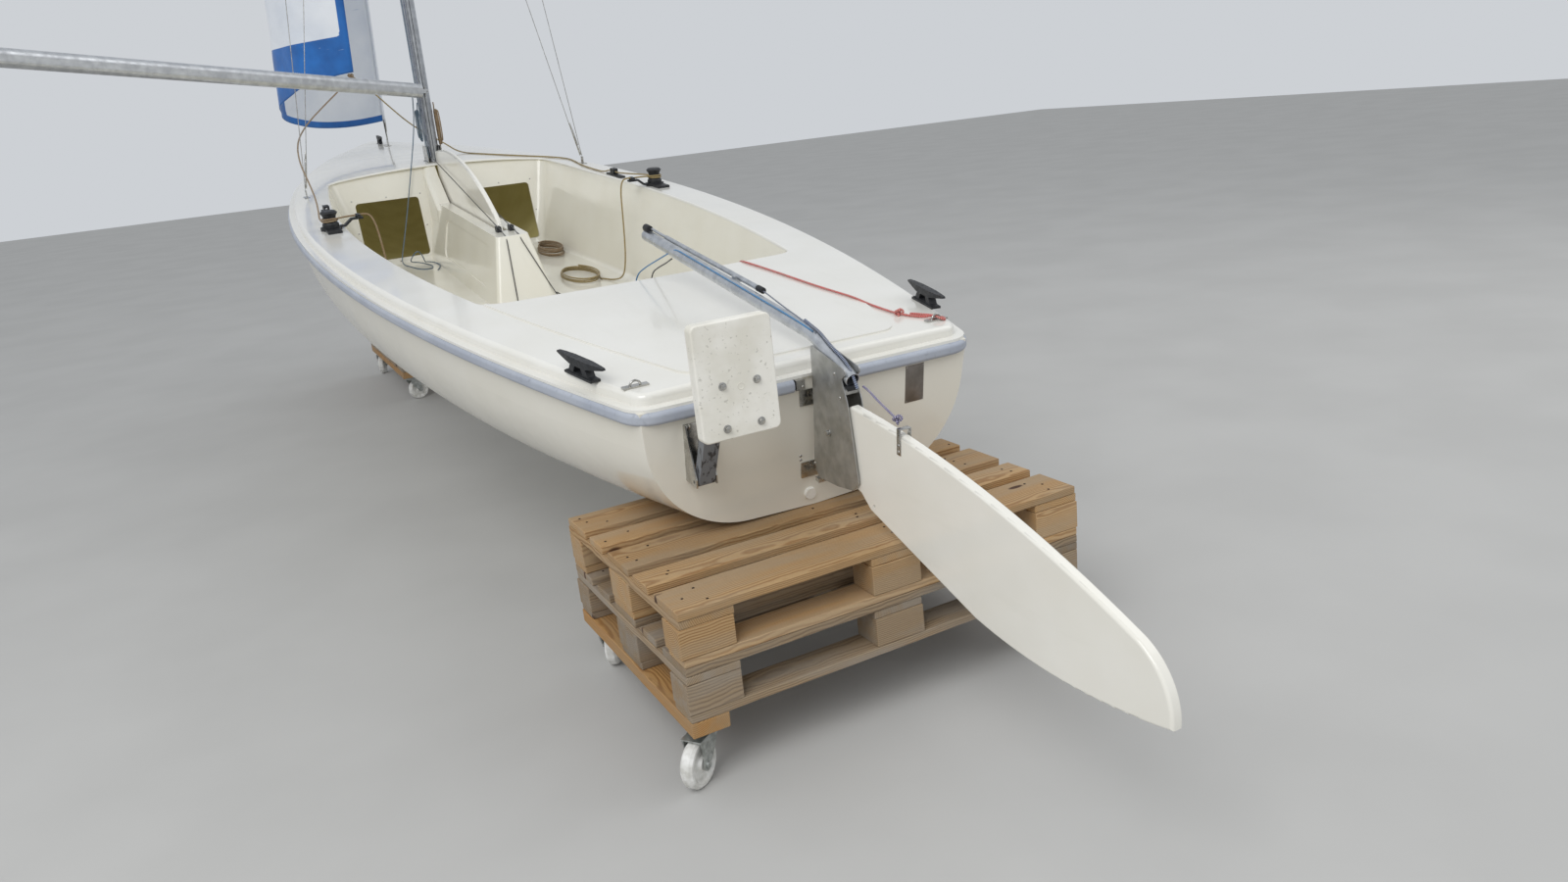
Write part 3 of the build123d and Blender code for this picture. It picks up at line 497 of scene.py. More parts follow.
def sawnBoard(size, seed):
    # One board along X at the origin, with uneven sawn faces and its own grain
    dice = random.Random(seed)
    bpy.ops.mesh.primitive_cube_add(size=1, location=(0, 0, 0))
    board = bpy.context.object
    board.scale = [side * mm for side in size]
    settle(board)
    easeEdges(board, pallet["edge"], 2)
    cuts = max(1, round(size[0] / pallet["cutSpacing"]))
    mesh = bmesh.new()
    mesh.from_mesh(board.data)
    for k in range(1, cuts):
        x = (-0.5 + k / cuts) * size[0] * mm
        bmesh.ops.bisect_plane(
            mesh, geom=mesh.verts[:] + mesh.edges[:] + mesh.faces[:], plane_co=(x, 0, 0), plane_no=(1, 0, 0)
        )
    wobble = pallet["unevenness"] * mm
    for vertex in mesh.verts:
        drift = noise.noise_vector(vertex.co * 9 + Vector((seed * 3.1, 0, 0)))
        vertex.co.y += drift.y * wobble * pallet["edgeShare"]
        inward = 1 if vertex.co.z > 0 else -1
        vertex.co.z += min(0, drift.z) * wobble * inward * pallet["faceShare"]
    grain = mesh.verts.layers.float_vector.new("grain")
    tone = mesh.verts.layers.float.new("tone")
    pithAlong = dice.uniform(-9, 9)
    pithAcross = dice.uniform(-0.09, 0.09)
    pith = Vector((pithAlong, pithAcross, dice.choice((-1, 1)) * dice.uniform(0.03, 0.1)))
    shade = dice.uniform(0.82, 1.12)
    for vertex in mesh.verts:
        vertex[grain] = vertex.co + pith
        vertex[tone] = shade
    mesh.to_mesh(board.data)
    mesh.free()
    return board


def nailHead():
    # A flat nail head, sunk a little into the board
    bpy.ops.mesh.primitive_cylinder_add(vertices=10, radius=pallet["nailRadius"] * mm, depth=1.6 * mm)
    nail = bpy.context.object
    easeEdges(nail, 0.5, 1)
    return paint(nail, nailSteel, 40)


def placedCopy(source, matrix):
    copy = source.copy()
    copy.data = source.data.copy()
    bpy.context.scene.collection.objects.link(copy)
    copy.matrix_world = matrix
    return copy


def buildPallet(node, wood, number):
    low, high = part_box(node)
    centre = (low + high) / 2
    alongX = high.x - low.x > high.y - low.y
    turn = Matrix.Rotation(0 if alongX else pi / 2, 4, "Z")
    home = Matrix.Translation((centre.x, centre.y, low.z)) @ turn
    thick = pallet["boardThick"]
    middle = thick + pallet["blockHigh"] / 2
    rows = []          # size, place and turn of each piece of wood
    for across, width in pallet["footBoards"]:
        rows.append(((pallet["long"], width, thick), (0, across, thick / 2), 0))
        for along in pallet["blockPlaces"]:
            rows.append(((pallet["blockLong"], width, pallet["blockHigh"]), (along, across, middle), 0))
    for along in pallet["blockPlaces"]:
        place = (along, 0, 1.5 * thick + pallet["blockHigh"])
        rows.append(((pallet["short"], pallet["blockLong"], thick), place, pi / 2))
    for across, width in pallet["topBoards"]:
        rows.append(((pallet["long"], width, thick), (0, across, 2.5 * thick + pallet["blockHigh"]), 0))
    dice = random.Random(number)
    slipAlong, slipAcross = pallet["slip"]
    skew = pallet["skew"]
    boards = []
    for k, ((length, width, height), place, angle) in enumerate(rows):
        length *= 1 if length == pallet["blockLong"] else pallet["shortened"]
        size = (length, width - pallet["besideGap"], height - pallet["layerGap"])
        board = sawnBoard(size, number * 100 + k)
        slip = Vector((dice.uniform(-slipAlong, slipAlong), dice.uniform(-slipAcross, slipAcross), 0))
        board.matrix_world = (
            home
            @ Matrix.Translation((Vector(place) + slip) * mm)
            @ Matrix.Rotation(angle + radians(dice.uniform(-skew, skew)), 4, "Z")
        )
        boards.append(paint(board, wood))
    whole = joined(boards, "woodOf." + node)
    nail = nailHead()
    nails = []
    spreadAlong, spreadAcross = pallet["nailSpread"]
    for layer, height in zip(("topBoards", "footBoards"), pallet["nailHeights"]):
        for across, width in pallet[layer]:
            count = 3 if width > pallet["wide"] else 2
            for along in pallet["blockPlaces"]:
                for k in range(count):
                    line = across + (k - (count - 1) / 2) * width / pallet["nailsPerWidth"]
                    spot = Vector((
                        along + dice.uniform(-spreadAlong, spreadAlong),
                        line + dice.uniform(-spreadAcross, spreadAcross),
                        height,
                    ))
                    nails.append(placedCopy(nail, home @ Matrix.Translation(spot * mm)))
    bpy.data.objects.remove(nail)
    pins = joined(nails, "nailsOf." + node)
    for piece in (whole, pins):
        fit(piece, "hull")
    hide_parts(node)


stacks = [("aft", oldWood), ("aft", newWood)] + [("fore", oldWood)] * 3 + [("fore", newWood)]
levels = [1, 2, 1, 2, 3, 4]
for number, ((stack, wood), level) in enumerate(zip(stacks, levels), 1):
    buildPallet(f"pallet_{stack}_{level}", wood, number)
print("pallets built")


def buildPlanks():
    # The planks under the lowest pallets
    low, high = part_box("castor_planks")
    width = 100
    boards = []
    for stack in ("aft", "fore"):
        lowStack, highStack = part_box(f"pallet_{stack}_1")
        for side in (-1, 1):
            x = (lowStack.x + highStack.x) / 2 + side * ((highStack.x - lowStack.x) / 2 - width * mm / 2)
            length = (highStack.y - lowStack.y) / mm
            board = sawnBoard((length - 1, width - 1, (high.z - low.z) / mm - 0.4), 900 + len(boards))
            board.matrix_world = Matrix.Translation(
                (x, (lowStack.y + highStack.y) / 2, (low.z + high.z) / 2)
            ) @ Matrix.Rotation(pi / 2, 4, "Z")
            boards.append(paint(board, plankWood))
    whole = fit(joined(boards, "castorPlanks"), "hull")
    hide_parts("castor_planks")


buildPlanks()
print("planks built")


# Jib: a single sheet of cloth, curled round from the forestay to the clew
jib = dict(
    rows=[        # height, belly across and along, leech across and along
        (150, -700, 5190, -310, 4750),
        (1500, -600, 5040, -250, 4700),
        (3200, -300, 4800, -120, 4650),
        (4800, -50, 4620, -26, 4596),
    ],
    luff=((-12, 5750, 96), (-12, 4539, 5200)),
    foot=[(-12, 5712, 232), (-700, 5150, 430), (-305, 4750, 600)],
    top=4500,
    across=72,
    upward=150,
    thick=1.1,
    folds=13,
    tape=42,
    blueFrom=0.44,
    blueLine=(715, 815),
    seamSpacing=900,
    flat=(1.75, 4.9),
    foldShare=1.012,        # the cloth's modelled area is divided by this
    footLong=1700,
    leechTape=0.9,          # share of the tape's width
    wide=1500,
    headUp=5400,
)


def mixed(a, b, share):
    return a + (b - a) * share


def jibRow(height):
    # Luff, belly and leech at a height, mixed in a straight line from the two nearest rows
    rows = jib["rows"]
    k = 0
    while k < len(rows) - 2 and rows[k + 1][0] < height:
        k += 1
    share = (height - rows[k][0]) / (rows[k + 1][0] - rows[k][0])
    values = [mixed(rows[k][c], rows[k + 1][c], share) for c in range(1, 5)]
    (_, lowAlong, lowUp), (_, highAlong, highUp) = jib["luff"]
    along = mixed(lowAlong, highAlong, (height - lowUp) / (highUp - lowUp))
    return Vector((jib["luff"][0][0], along)), Vector(values[:2]), Vector(values[2:])


def circleCentre(a, b, c):
    ab, ac = b - a, c - a
    cross = 2 * (ab.x * ac.y - ab.y * ac.x)
    x = (ac.y * ab.dot(ab) - ab.y * ac.dot(ac)) / cross
    y = (ab.x * ac.dot(ac) - ac.x * ab.dot(ab)) / cross
    return a + Vector((x, y))


def jibArc(height, share):
    # The point at that share of the way from the luff to the leech, and its outward side
    luff, belly, leech = jibRow(height)
    centre = circleCentre(luff, belly, leech)
    radius = (luff - centre).length
    start = atan2(luff.y - centre.y, luff.x - centre.x)
    passing = atan2(belly.y - centre.y, belly.x - centre.x)
    end = atan2(leech.y - centre.y, leech.x - centre.x)
    while passing < start:
        passing += 2 * pi
    while end < passing:
        end += 2 * pi
    angle = start + (end - start) * share
    side = Vector((cos(angle), sin(angle)))
    return centre + side * radius, side


def jibFootHeight(point):
    # The height of the slanting foot under a point
    a, b, c = [Vector(corner) for corner in jib["foot"]]
    up = (b - a).cross(c - a)
    return a.z - (up.x * (point.x - a.x) + up.y * (point.y - a.y)) / up.z


def crumple(share, height):
    # Folds that run down from the luff to the clew, with small creases between them
    wander = 1.3 * noise.noise(Vector((share * 3, height / 700, 0)))
    drawn = sin(jib["folds"] * (share * 2.4 + height / 5200) + wander)
    slack = 1 - 0.5 * height / jib["top"]
    wide = noise.noise(Vector((share * 5, height / 420, 4)))
    small = noise.noise(Vector((share * 17, height / 120, 9)))
    hem = min(1, share * 9) * min(1, (1 - share) * 9 + 0.25)
    return (7 * drawn + 16 * wide + 3.2 * small) * slack * hem


def sailcloth():
    # Resin filled polyester sailcloth: white, crisp, a little see-through, with a blue panel
    material = newMaterial("sailcloth", "#e9edf2", 0.48, Sheen_Weight=0.15)
    place = placeOf(material)
    blue = addNode(material, "Attribute", attribute_name="bluePanel").outputs["Fac"]
    edge = addNode(material, "MapRange", {"From Min": -0.0008, "From Max": 0.0008}, {"Value": blue})
    seam = addNode(material, "Attribute", attribute_name="seam").outputs["Fac"]
    stitch = addNode(material, "MapRange", {"From Min": 0.0045, "From Max": 0.003}, {"Value": seam})
    white = blendColours(material, patches(material, place, 320), "#eef1f5", "#dfe4ec")
    bluePart = blendColours(material, patches(material, place, 160), "#1d6fc0", "#175da6")
    both = blendColours(material, edge.outputs["Result"], white, bluePart)
    dim = addNode(material, "Math", {1: 0.35}, {0: stitch.outputs["Result"]}, operation="MULTIPLY")
    toShader(material, "Base Color", blendColours(material, dim.outputs[0], both, "#9fb2cc"))
    threads = addNode(material, "TexWave", {"Scale": 220, "Distortion": 1}, {"Vector": place})
    creases = patches(material, place, 46, 0, 1, 5, (0.3, 0.7))
    first = relief(material, creases, 1.6, 0.7)
    relief(material, threads.outputs["Fac"], 0.05, 1, first)
    return material


def buildJib():
    across, upward = jib["across"], jib["upward"]
    mesh = bmesh.new()
    blue = mesh.verts.layers.float.new("bluePanel")
    seam = mesh.verts.layers.float.new("seam")
    grid = []
    area = 0
    for row in range(upward + 1):
        line = []
        for column in range(across + 1):
            share = column / across
            height = 400.0
            for _ in range(4):
                height = jibFootHeight(jibArc(height, share)[0])
            foot = height
            height = mixed(foot, jib["top"], (row / upward) ** 1.15)
            flat, side = jibArc(height, share)
            flat = flat + side * crumple(share, height)
            vertex = mesh.verts.new(boatPoint(flat.x, flat.y, height))
            panelTop = mixed(*jib["blueLine"], (share - jib["blueFrom"]) / (1 - jib["blueFrom"]))
            inPanel = min(panelTop - height, (share - jib["blueFrom"]) * jib["footLong"])
            tape = jib["tape"] - (height - foot)
            width = jib["wide"] * (1 - height / jib["headUp"])
            leechTape = jib["tape"] * jib["leechTape"] - (1 - share) * width
            vertex[blue] = max(inPanel, tape, leechTape) * mm
            panel = (height - 0.25 * flat.y) % jib["seamSpacing"]
            vertex[seam] = abs(panel - jib["seamSpacing"] / 2) * mm
            line.append(vertex)
        grid.append(line)
    for row in range(upward):
        for column in range(across):
            corners = (
                grid[row][column], grid[row][column + 1], grid[row + 1][column + 1], grid[row + 1][column]
            )
            face = mesh.faces.new(corners)
            face.smooth = True
            area += face.calc_area()
    cloth = paint(pieceFrom("jibCloth", mesh), sailcloth())
    useModifier(cloth, "SOLIDIFY", thickness=jib["thick"] * mm, offset=0)
    fit(cloth, "hull")
    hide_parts("jib")
    print("jib cloth of", round(area, 2), "square metres")


buildJib()


# Ropes: braided lines that lie and hang where the crew let go of them
def braidedRope(name, colour, fleck, share, diameter):
    # Braided polyester: strands that cross in diamonds, some of them in a tracer's colour
    material = newMaterial(name, colour, 0.72, Sheen_Weight=0.25)
    uv = addNode(material, "UVMap", uv_map="rope").outputs["UV"]
    parts = addNode(material, "SeparateXYZ", {}, {0: uv})
    around = addNode(material, "Math", {1: 8 * pi}, {0: parts.outputs[0]}, operation="MULTIPLY").outputs[0]
    step = 1.5 * diameter * mm       # a strand goes once round in this length
    along = addNode(
        material, "Math", {1: 2 * pi / step}, {0: parts.outputs[1]}, operation="MULTIPLY"
    ).outputs[0]
    waves = []
    for operation in ("ADD", "SUBTRACT"):
        phase = addNode(material, "Math", {}, {0: around, 1: along}, operation=operation).outputs[0]
        waves.append(addNode(material, "Math", {}, {0: phase}, operation="SINE").outputs[0])
    weave = addNode(material, "Math", {}, {0: waves[0], 1: waves[1]}, operation="MULTIPLY").outputs[0]
    strand = addNode(
        material, "MapRange", {"From Min": share - 0.15, "From Max": share + 0.15}, {"Value": weave}
    )
    worn = blendColours(material, patches(material, placeOf(material), 30, 0, 0.35), colour, "#8d8677")
    toShader(material, "Base Color", blendColours(material, strand.outputs["Result"], worn, fleck))
    height = addNode(material, "Math", {}, {0: weave}, operation="ABSOLUTE").outputs[0]
    relief(material, height, 0.1 * diameter, 0.8)
    return material


brownBraid = braidedRope("brownBraid", "#6e5439", "#b09468", 0.25, 8)
goldBraid = braidedRope("goldBraid", "#5a4c30", "#b79f62", 0.0, 8)
greyBlueBraid = braidedRope("greyBlueBraid", "#4b6478", "#6f8799", 0.4, 6)
navyBraid = braidedRope("navyBraid", "#1f3357", "#c9d2e2", 0.45, 7)
lightBlueBraid = braidedRope("lightBlueBraid", "#3d8cc4", "#17324e", 0.45, 5)
blackBraid = braidedRope("blackBraid", "#1d1f22", "#3b3e42", 0.4, 5)
redBraid = braidedRope("redBraid", "#c43a34", "#e8c9c2", 0.6, 7)
purpleBraid = braidedRope("purpleBraid", "#2f2b5c", "#cfc8e6", 0.3, 6)


def surfaceUnder(names, across, along, lift):
    # The height at which a line of that radius lies on the pieces below a point
    fromHeight = 400
    start = boatPoint(across, along, fromHeight)
    best = None
    for name in names:
        hit, place, _, _ = nodes[name].ray_cast(start, -boatUp)
        if hit:
            fall = (start - place).length / mm
            best = fall if best is None else min(best, fall)
    if best is None:
        print("no surface under", across, along)
        best = fromHeight
    return fromHeight - best + lift


def followedPoints(route):
    # Points along the smooth curve that the route's points draw
    curve = bpy.data.curves.new("route", "CURVE")
    curve.dimensions = "3D"
    curve.resolution_u = 10
    spline = curve.splines.new("NURBS")
    spline.points.add(len(route) - 1)
    for point, place in zip(spline.points, route):
        point.co = (*boatPoint(*place), 1)
    spline.order_u = 3
    spline.use_endpoint_u = True
    spline.resolution_u = 10
    holder = bpy.data.objects.new("route", curve)
    bpy.context.scene.collection.objects.link(holder)
    data = bpy.data.meshes.new_from_object(holder)
    points = [vertex.co.copy() for vertex in data.vertices]
    bpy.data.objects.remove(holder)
    bpy.data.curves.remove(curve)
    bpy.data.meshes.remove(data)
    return points


def ropeTube(name, points, radius, sides=8):
    mesh = bmesh.new()
    uv = mesh.loops.layers.uv.new("rope")
    last = len(points) - 1
    ahead = (points[1] - points[0]).normalized()
    side = ahead.orthogonal().normalized()
    rings = []
    travelled = [0]
    for k, point in enumerate(points):
        ahead = (points[min(k + 1, last)] - points[max(k - 1, 0)]).normalized()
        side = (side - ahead * side.dot(ahead)).normalized()
        other = ahead.cross(side)
        ring = []
        for j in range(sides):
            angle = 2 * pi * j / sides
            ring.append(mesh.verts.new(point + (side * cos(angle) + other * sin(angle)) * radius))
        rings.append(ring)
        if k:
            travelled.append(travelled[-1] + (point - points[k - 1]).length)
    for k in range(last):
        for j in range(sides):
            after = (j + 1) % sides
            face = mesh.faces.new((rings[k][j], rings[k][after], rings[k + 1][after], rings[k + 1][j]))
            face.smooth = True
            turns = (j / sides, (j + 1) / sides, (j + 1) / sides, j / sides)
            lengths = (travelled[k], travelled[k], travelled[k + 1], travelled[k + 1])
            for loop, u, v in zip(face.loops, turns, lengths):
                loop[uv].uv = (u, v)
    mesh.faces.new(list(reversed(rings[0])))
    mesh.faces.new(rings[-1])
    return pieceFrom(name, mesh)


def laid(route, names, radius):
    # Gives each point of two numbers the height of what it lies on
    return [
        place if len(place) == 3 else (*place, surfaceUnder(names, *place, radius + 0.6)) for place in route
    ]


def rope(name, route, finish, diameter, body="hull", on=()):
    # A line along a route, attached to a body unless none is named
    points = followedPoints(laid(route, on, diameter / 2))
    tube = paint(ropeTube(name, points, diameter / 2 * mm), finish)
    if body:        # a line given no body is left unattached
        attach(tube, body)
    return tube


def stopperKnot(name, place, finish, diameter, body="hull"):
    # A knot pulled tight: the line passes three times over and under itself
    centre = boatPoint(*place)
    size = 0.62 * diameter * mm
    points = []
    steps = 36
    for k in range(steps + 1):
        t = 2 * pi * k / steps
        points.append(
            centre + Vector((sin(t) + 2 * sin(2 * t), -1.25 * sin(3 * t), cos(t) - 2 * cos(2 * t))) * size
        )
    return fit(paint(ropeTube(name, points, diameter / 2 * mm), finish), body)


coilSteps = 14           # points in each turn of a coil


def looseCoil(centre, radii, turns, diameter, seed, start=0.0, spread=0.06):
    # Turns that lie on each other, each a little out of line with the last
    dice = random.Random(seed)
    points = []
    drifts = [[dice.uniform(-1, 1) for _ in range(3)] for _ in range(int(turns) + 3)]
    for k in range(int(turns * coilSteps) + 1):
        turn = k / coilSteps
        low = int(turn)
        share = turn - low
        drift = [mixed(a, b, share * share * (3 - 2 * share)) for a, b in zip(drifts[low], drifts[low + 1])]
        angle = start + 2 * pi * turn
        size = 1 + spread * drift[2]
        points.append((
            centre[0] + radii[0] * (size * cos(angle) + spread * drift[0]),
            centre[1] + radii[1] * (size * sin(angle) + spread * drift[1]),
            centre[2] + turn * 1.12 * diameter,
        ))
    return points


soleLine = -413          # height of the cockpit's sole
onSole = {diameter: soleLine + diameter / 2 + 0.6 for diameter in (5, 6, 8)}     # of a line that lies on it
winch = dict(across=790, along=2890, low=78, rise=9.5, radius=35.5, turns=1.3, start=20, steps=8)


def winchTurns(side):
    # Turns round the drum's waist, from the bottom up
    steps = winch["steps"]
    points = []
    for k in range(int(winch["turns"] * steps) + 1):
        angle = radians(winch["start"]) - 2 * pi * k / steps
        points.append((
            side * (winch["across"] + winch["radius"] * cos(angle)),
            winch["along"] + winch["radius"] * sin(angle),
            winch["low"] + winch["rise"] * k / steps,
        ))
    return points


def fallFromCams(side):
    # From the winch through the cam on its arm and down the cockpit's side
    return [
        (side * 745, 2872, 90), (side * 705, 2886, 90), (side * 668, 2890, 88), (side * 640, 2890, 92),
        (side * 612, 2887, 82), (side * 597, 2880, 30), (side * 590, 2866, -70),
    ]


clewKnot = stopperKnot("clewKnot", (-309, 4744, 586), brownBraid, 8)
rope(
    "portSheet",
    [
        (-308, 4744, 586), (-330, 4722, 566), (-400, 4640, 520), (-520, 4480, 455), (-660, 4230, 385),
        (-755, 3950, 325), (-792, 3650, 258), (-796, 3380, 196), (-800, 3180, 140), (-815, 3030, 100),
        (-826, 2960, 84),
    ]
    + winchTurns(-1)
    + fallFromCams(-1)
    + [
        (-584, 2850, -200), (-574, 2830, -320), (-556, 2800, -392), (-516, 2750, onSole[8]),
        (-450, 2715, onSole[8]), (-380, 2740, onSole[8]), (-345, 2815, onSole[8]),
    ],
    brownBraid, 8,
)
goldCoil = looseCoil((392, 3060, onSole[8]), (88, 168), 3.3, 8, 11, start=-0.7)
rope(
    "starboardSheet",
    [
        (-300, 4752, 584), (-262, 4690, 545), (-209, 4610, 480), (-120, 4640, 380), (-20, 4740, 285),
        (80, 4800, 210), (170, 4790, 150), (238, 4700), (313, 4480), (430, 4340), (569, 4262), (690, 4225),
        (752, 4150), (742, 4000), (716, 3800), (722, 3600), (734, 3480), (745, 3420, 62), (745, 3350, 62),
        (745, 3280, 62), (756, 3180, 68), (786, 3040, 76), (812, 2955, 78),
    ]
    + winchTurns(1)
    + fallFromCams(1)
    + [(574, 2830, -180), (552, 2790, -300), (535, 2800, -385), (505, 2870, soleLine + 6)]
    + [(480, 2935, onSole[8])]
    + goldCoil,
    goldBraid, 8, on=["deck_moulding"],
)
rope(
    "brownCoil",
    looseCoil((452, 3736, onSole[8]), (62, 132), 5.4, 8, 5, spread=0.05),
    brownBraid, 8,
)
rope(
    "hangingLine",
    [
        (-70, 4266, 478), (-74, 4264, 440), (-84, 4258, 360), (-112, 4240, 240), (-168, 4198, 60),
        (-232, 4148, -140), (-290, 4096, -300), (-322, 4064, -380), (-326, 4030, soleLine + 4),
        (-300, 3960, onSole[6]), (-280, 3880, onSole[6]), (-250, 3830, onSole[6]),
        (-205, 3830, onSole[6]), (-190, 3890, onSole[6]), (-205, 3960, onSole[6]),
        (-245, 3990, soleLine + 14), (-300, 3950, soleLine + 30), (-292, 3900, soleLine + 70),
        (-262, 3880, soleLine + 105), (-236, 3900, soleLine + 70), (-222, 3930, soleLine + 22),
        (-200, 3985, soleLine + 12), (-160, 3980, onSole[6]), (-150, 3900, onSole[6]),
        (-165, 3820, onSole[6]), (-190, 3770, onSole[6]),
    ],
    greyBlueBraid, 6,
)


def downTheCase(across, up):
    # A point of a 5 mm line that hangs down the case's sloping aft face
    behind = 2000
    start = boatPoint(across, behind, up)
    hit, place, _, _ = nodes["centreboard_case"].ray_cast(start, boatAhead)
    along = behind + (place - start).length / mm if hit else 2690
    return (across, along - 3.3, up)


# Control lines, from the mast's foot along the case to its cleats and down to the sole
for side, drift, curl in (
    (-1, 14, [(-28, 2600), (-5, 2560), (40, 2556), (96, 2590)]),
    (1, 112, [(166, 2640), (190, 2700), (194, 2780), (188, 2842)]),
):
    tail = [downTheCase(side * (34 + drift * k / 6), -108 - 46 * k) for k in range(7)]
    foot = tail[-1]
    tail += [(foot[0] + side * 2, foot[1] - 8, soleLine + 8)]
    tail += [(*place, onSole[5]) for place in curl]
    rope(
        "controlLine" + ("Port" if side < 0 else "Starboard"),
        [
            (side * 20, 4240, 128), (side * 21, 4210, 124), (side * 30, 2990, -61), (side * 31, 2940, -69),
            (side * 31, 2893, -70), (side * 32, 2850), (side * 33, 2816),
        ]
        + tail,
        blackBraid, 5, on=["centreboard_case"],
    )

redKnot = stopperKnot("redKnot", (411, 140, surfaceUnder(["deck_moulding"], 411, 140, 8)), redBraid, 7)
rope(
    "redLine",
    [
        (352, 1112, -150), (350, 1100, -60), (349, 1082, 20), (349, 1056, 47), (350, 1020), (356, 940),
        (364, 826), (371, 690), (376, 578), (388, 450), (397, 373), (401, 290), (404, 224), (408, 165),
        (424, 110), (452, 74), (467, 56, 49), (468, 36, 50), (472, 18, 48), (484, 16), (493, 26), (492, 48),
        (476, 86), (440, 126),
    ],
    redBraid, 7, on=["deck_moulding"],
)


def hangingCoil(top, width, drop, turns, diameter, seed, side):
    # A long coil against the mast's side, its turns beside each other and a little uneven
    dice = random.Random(seed)
    points = []
    for k in range(turns):
        half = 0.5 * width * dice.uniform(0.82, 1.12)
        fall = drop * dice.uniform(0.86, 1.04)
        for j in range(coilSteps):
            angle = 2 * pi * (j + 0.5) / coilSteps
            low = 0.5 - 0.5 * cos(angle)
            points.append((
                top[0] + side * (3 * sin(angle / 2) + 1.15 * diameter * (k % 3)),
                top[1] + half * copysign(abs(sin(angle)) ** 0.55, sin(angle)) + 0.3 * k * diameter,
                top[2] - fall * low + 0.5 * diameter * (k // 3),
            ))
    return points


rope(
    "mastCoilBrown",
    [(44, 4300, 432), (46, 4303, 415)] + hangingCoil((46, 4306, 389), 52, 200, 5, 7, 3, 1)
    + [(54, 4322, 392), (55, 4334, 370), (55, 4337, 320), (54, 4332, 250), (52, 4326, 150)],
    brownBraid, 7,
)
rope(
    "mastCoilBlue",
    [(-44, 4300, 438), (-46, 4303, 420)] + hangingCoil((-46, 4306, 396), 46, 170, 4, 6, 8, -1)
    + [(-48, 4318, 398), (-50, 4330, 378), (-52, 4333, 330), (-52, 4328, 270), (-50, 4322, 220)],
    greyBlueBraid, 6,
)
for name, finish, across, diameter in (
    ("halyardOne", navyBraid, -30, 6),
    ("halyardTwo", greyBlueBraid, -42, 5),
):
    rope(
        name,
        [
            (across, 4262, 1600), (across, 4264, 1200), (across, 4266, 800), (across - 2, 4268, 480),
            (across, 4266, 250), (across + 6, 4262, 130),
        ],
        finish, diameter,
    )

# Lines on the tiller
outhaulLine = rope(
    "outhaulLine",
    [
        (-34, 1150, -120), (-34, 1128, -20), (-34, 1100, 50), (-28, 1020, 92), (-22, 900, 142),
        (-14, 812, 180), (-11, 780), (-11, 700), (-11, 560), (-11, 420), (-11, 280), (-11, 140), (-11, 20),
        (-11, -80),
    ],
    lightBlueBraid, 5, body="", on=["tiller"],
)
darkTillerLine = rope(
    "darkTillerLine",
    [(26, 1150, -120), (26, 1128, -20), (24, 1100, 48), (14, 1010, 86), (2, 900, 124), (-8, 830, 152)],
    blackBraid, 5, body="",
)
for line, end in ((outhaulLine, (0, 830, 170)), (darkTillerLine, (0, 880, 130))):
    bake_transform(line)
rope(
    "extensionLine",
    [
        (30, 275, 155), (29, 240, 151), (24, 170, 143), (14, 90, 139), (4, 20, 138), (-4, -40, 134),
        (-7, -90, 122),
    ],
    navyBraid, 4, body="rudder",
)
rope(
    "tillerRope",
    [(2, -20), (-3, -60), (2, -100), (-2, -150), (3, -200), (0, -236), (0, -262, 40), (0, -274, 20)],
    navyBraid, 8, body="rudder", on=["tiller"],
)
stopperKnot("bladeKnot", (0, -450, -6), purpleBraid, 6, body="blade")
rope(
    "bladeLine",
    [(27.5, -258, 16), (27.5, -272, 14), (25, -292, 12), (16, -336, 7), (7, -396, 0), (0, -446, -6)],
    purpleBraid, 6, body="blade",
)
print("ropes laid")


# Bolts, rivets, plates and other small metal
def seatOn(names, start, ahead):
    # Where a line from outside first meets the pieces, and the way the surface looks there
    best = None
    for name in names:
        hit, place, normal, _ = nodes[name].ray_cast(start, ahead)
        if hit and (best is None or (place - start).length < (best[0] - start).length):
            best = (place.copy(), normal.copy())
    return best


def standOn(spot, spin=0.0):
    # A matrix that stands a piece on a surface, its Z along the way the surface looks
    place, normal = spot
    turn = normal.to_track_quat("Z", "Y").to_matrix().to_4x4()
    return Matrix.Translation(place) @ turn @ Matrix.Rotation(spin, 4, "Z")


def asTheBoat(across, along, up):
    # A matrix that puts a piece at that point, square to the boat
    turn = Matrix((boatSide, boatAhead, boatUp)).transposed().to_4x4()
    return Matrix.Translation(boatPoint(across, along, up)) @ turn


def finished(piece, name, matrix, material, smooth, body):
    piece.matrix_world = matrix
    piece.name = name
    settle(piece)
    return fit(paint(piece, material, smooth), body)


def disc(radius, depth, base, sides=24, edge=0.5):
    # A flat round or many sided piece from height base upwards, its edges eased
    bpy.ops.mesh.primitive_cylinder_add(
        vertices=sides, radius=radius * mm, depth=depth * mm, location=(0, 0, (base + depth / 2) * mm)
    )
    piece = bpy.context.object
    settle(piece)
    useModifier(
        piece, "BEVEL", width=edge * mm, segments=2, limit_method="ANGLE", angle_limit=radians(40)
    )
    return piece


def block(size, centre, edge, segments=2):
    bpy.ops.mesh.primitive_cube_add(size=1, location=[side * mm for side in centre])
    piece = bpy.context.object
    piece.scale = [side * mm for side in size]
    settle(piece)
    useModifier(piece, "BEVEL", width=edge * mm, segments=segments)
    return piece


def hexBolt(across, washer):
    # Hexagon head, given across its flats, with a washer under it
    head = disc(across / 2 / cos(pi / 6), 0.55 * across, 1.5, 6, 0.7)
    return paint(joined([disc(washer, 1.6, 0), head], "boltModel"), stainless, 35)


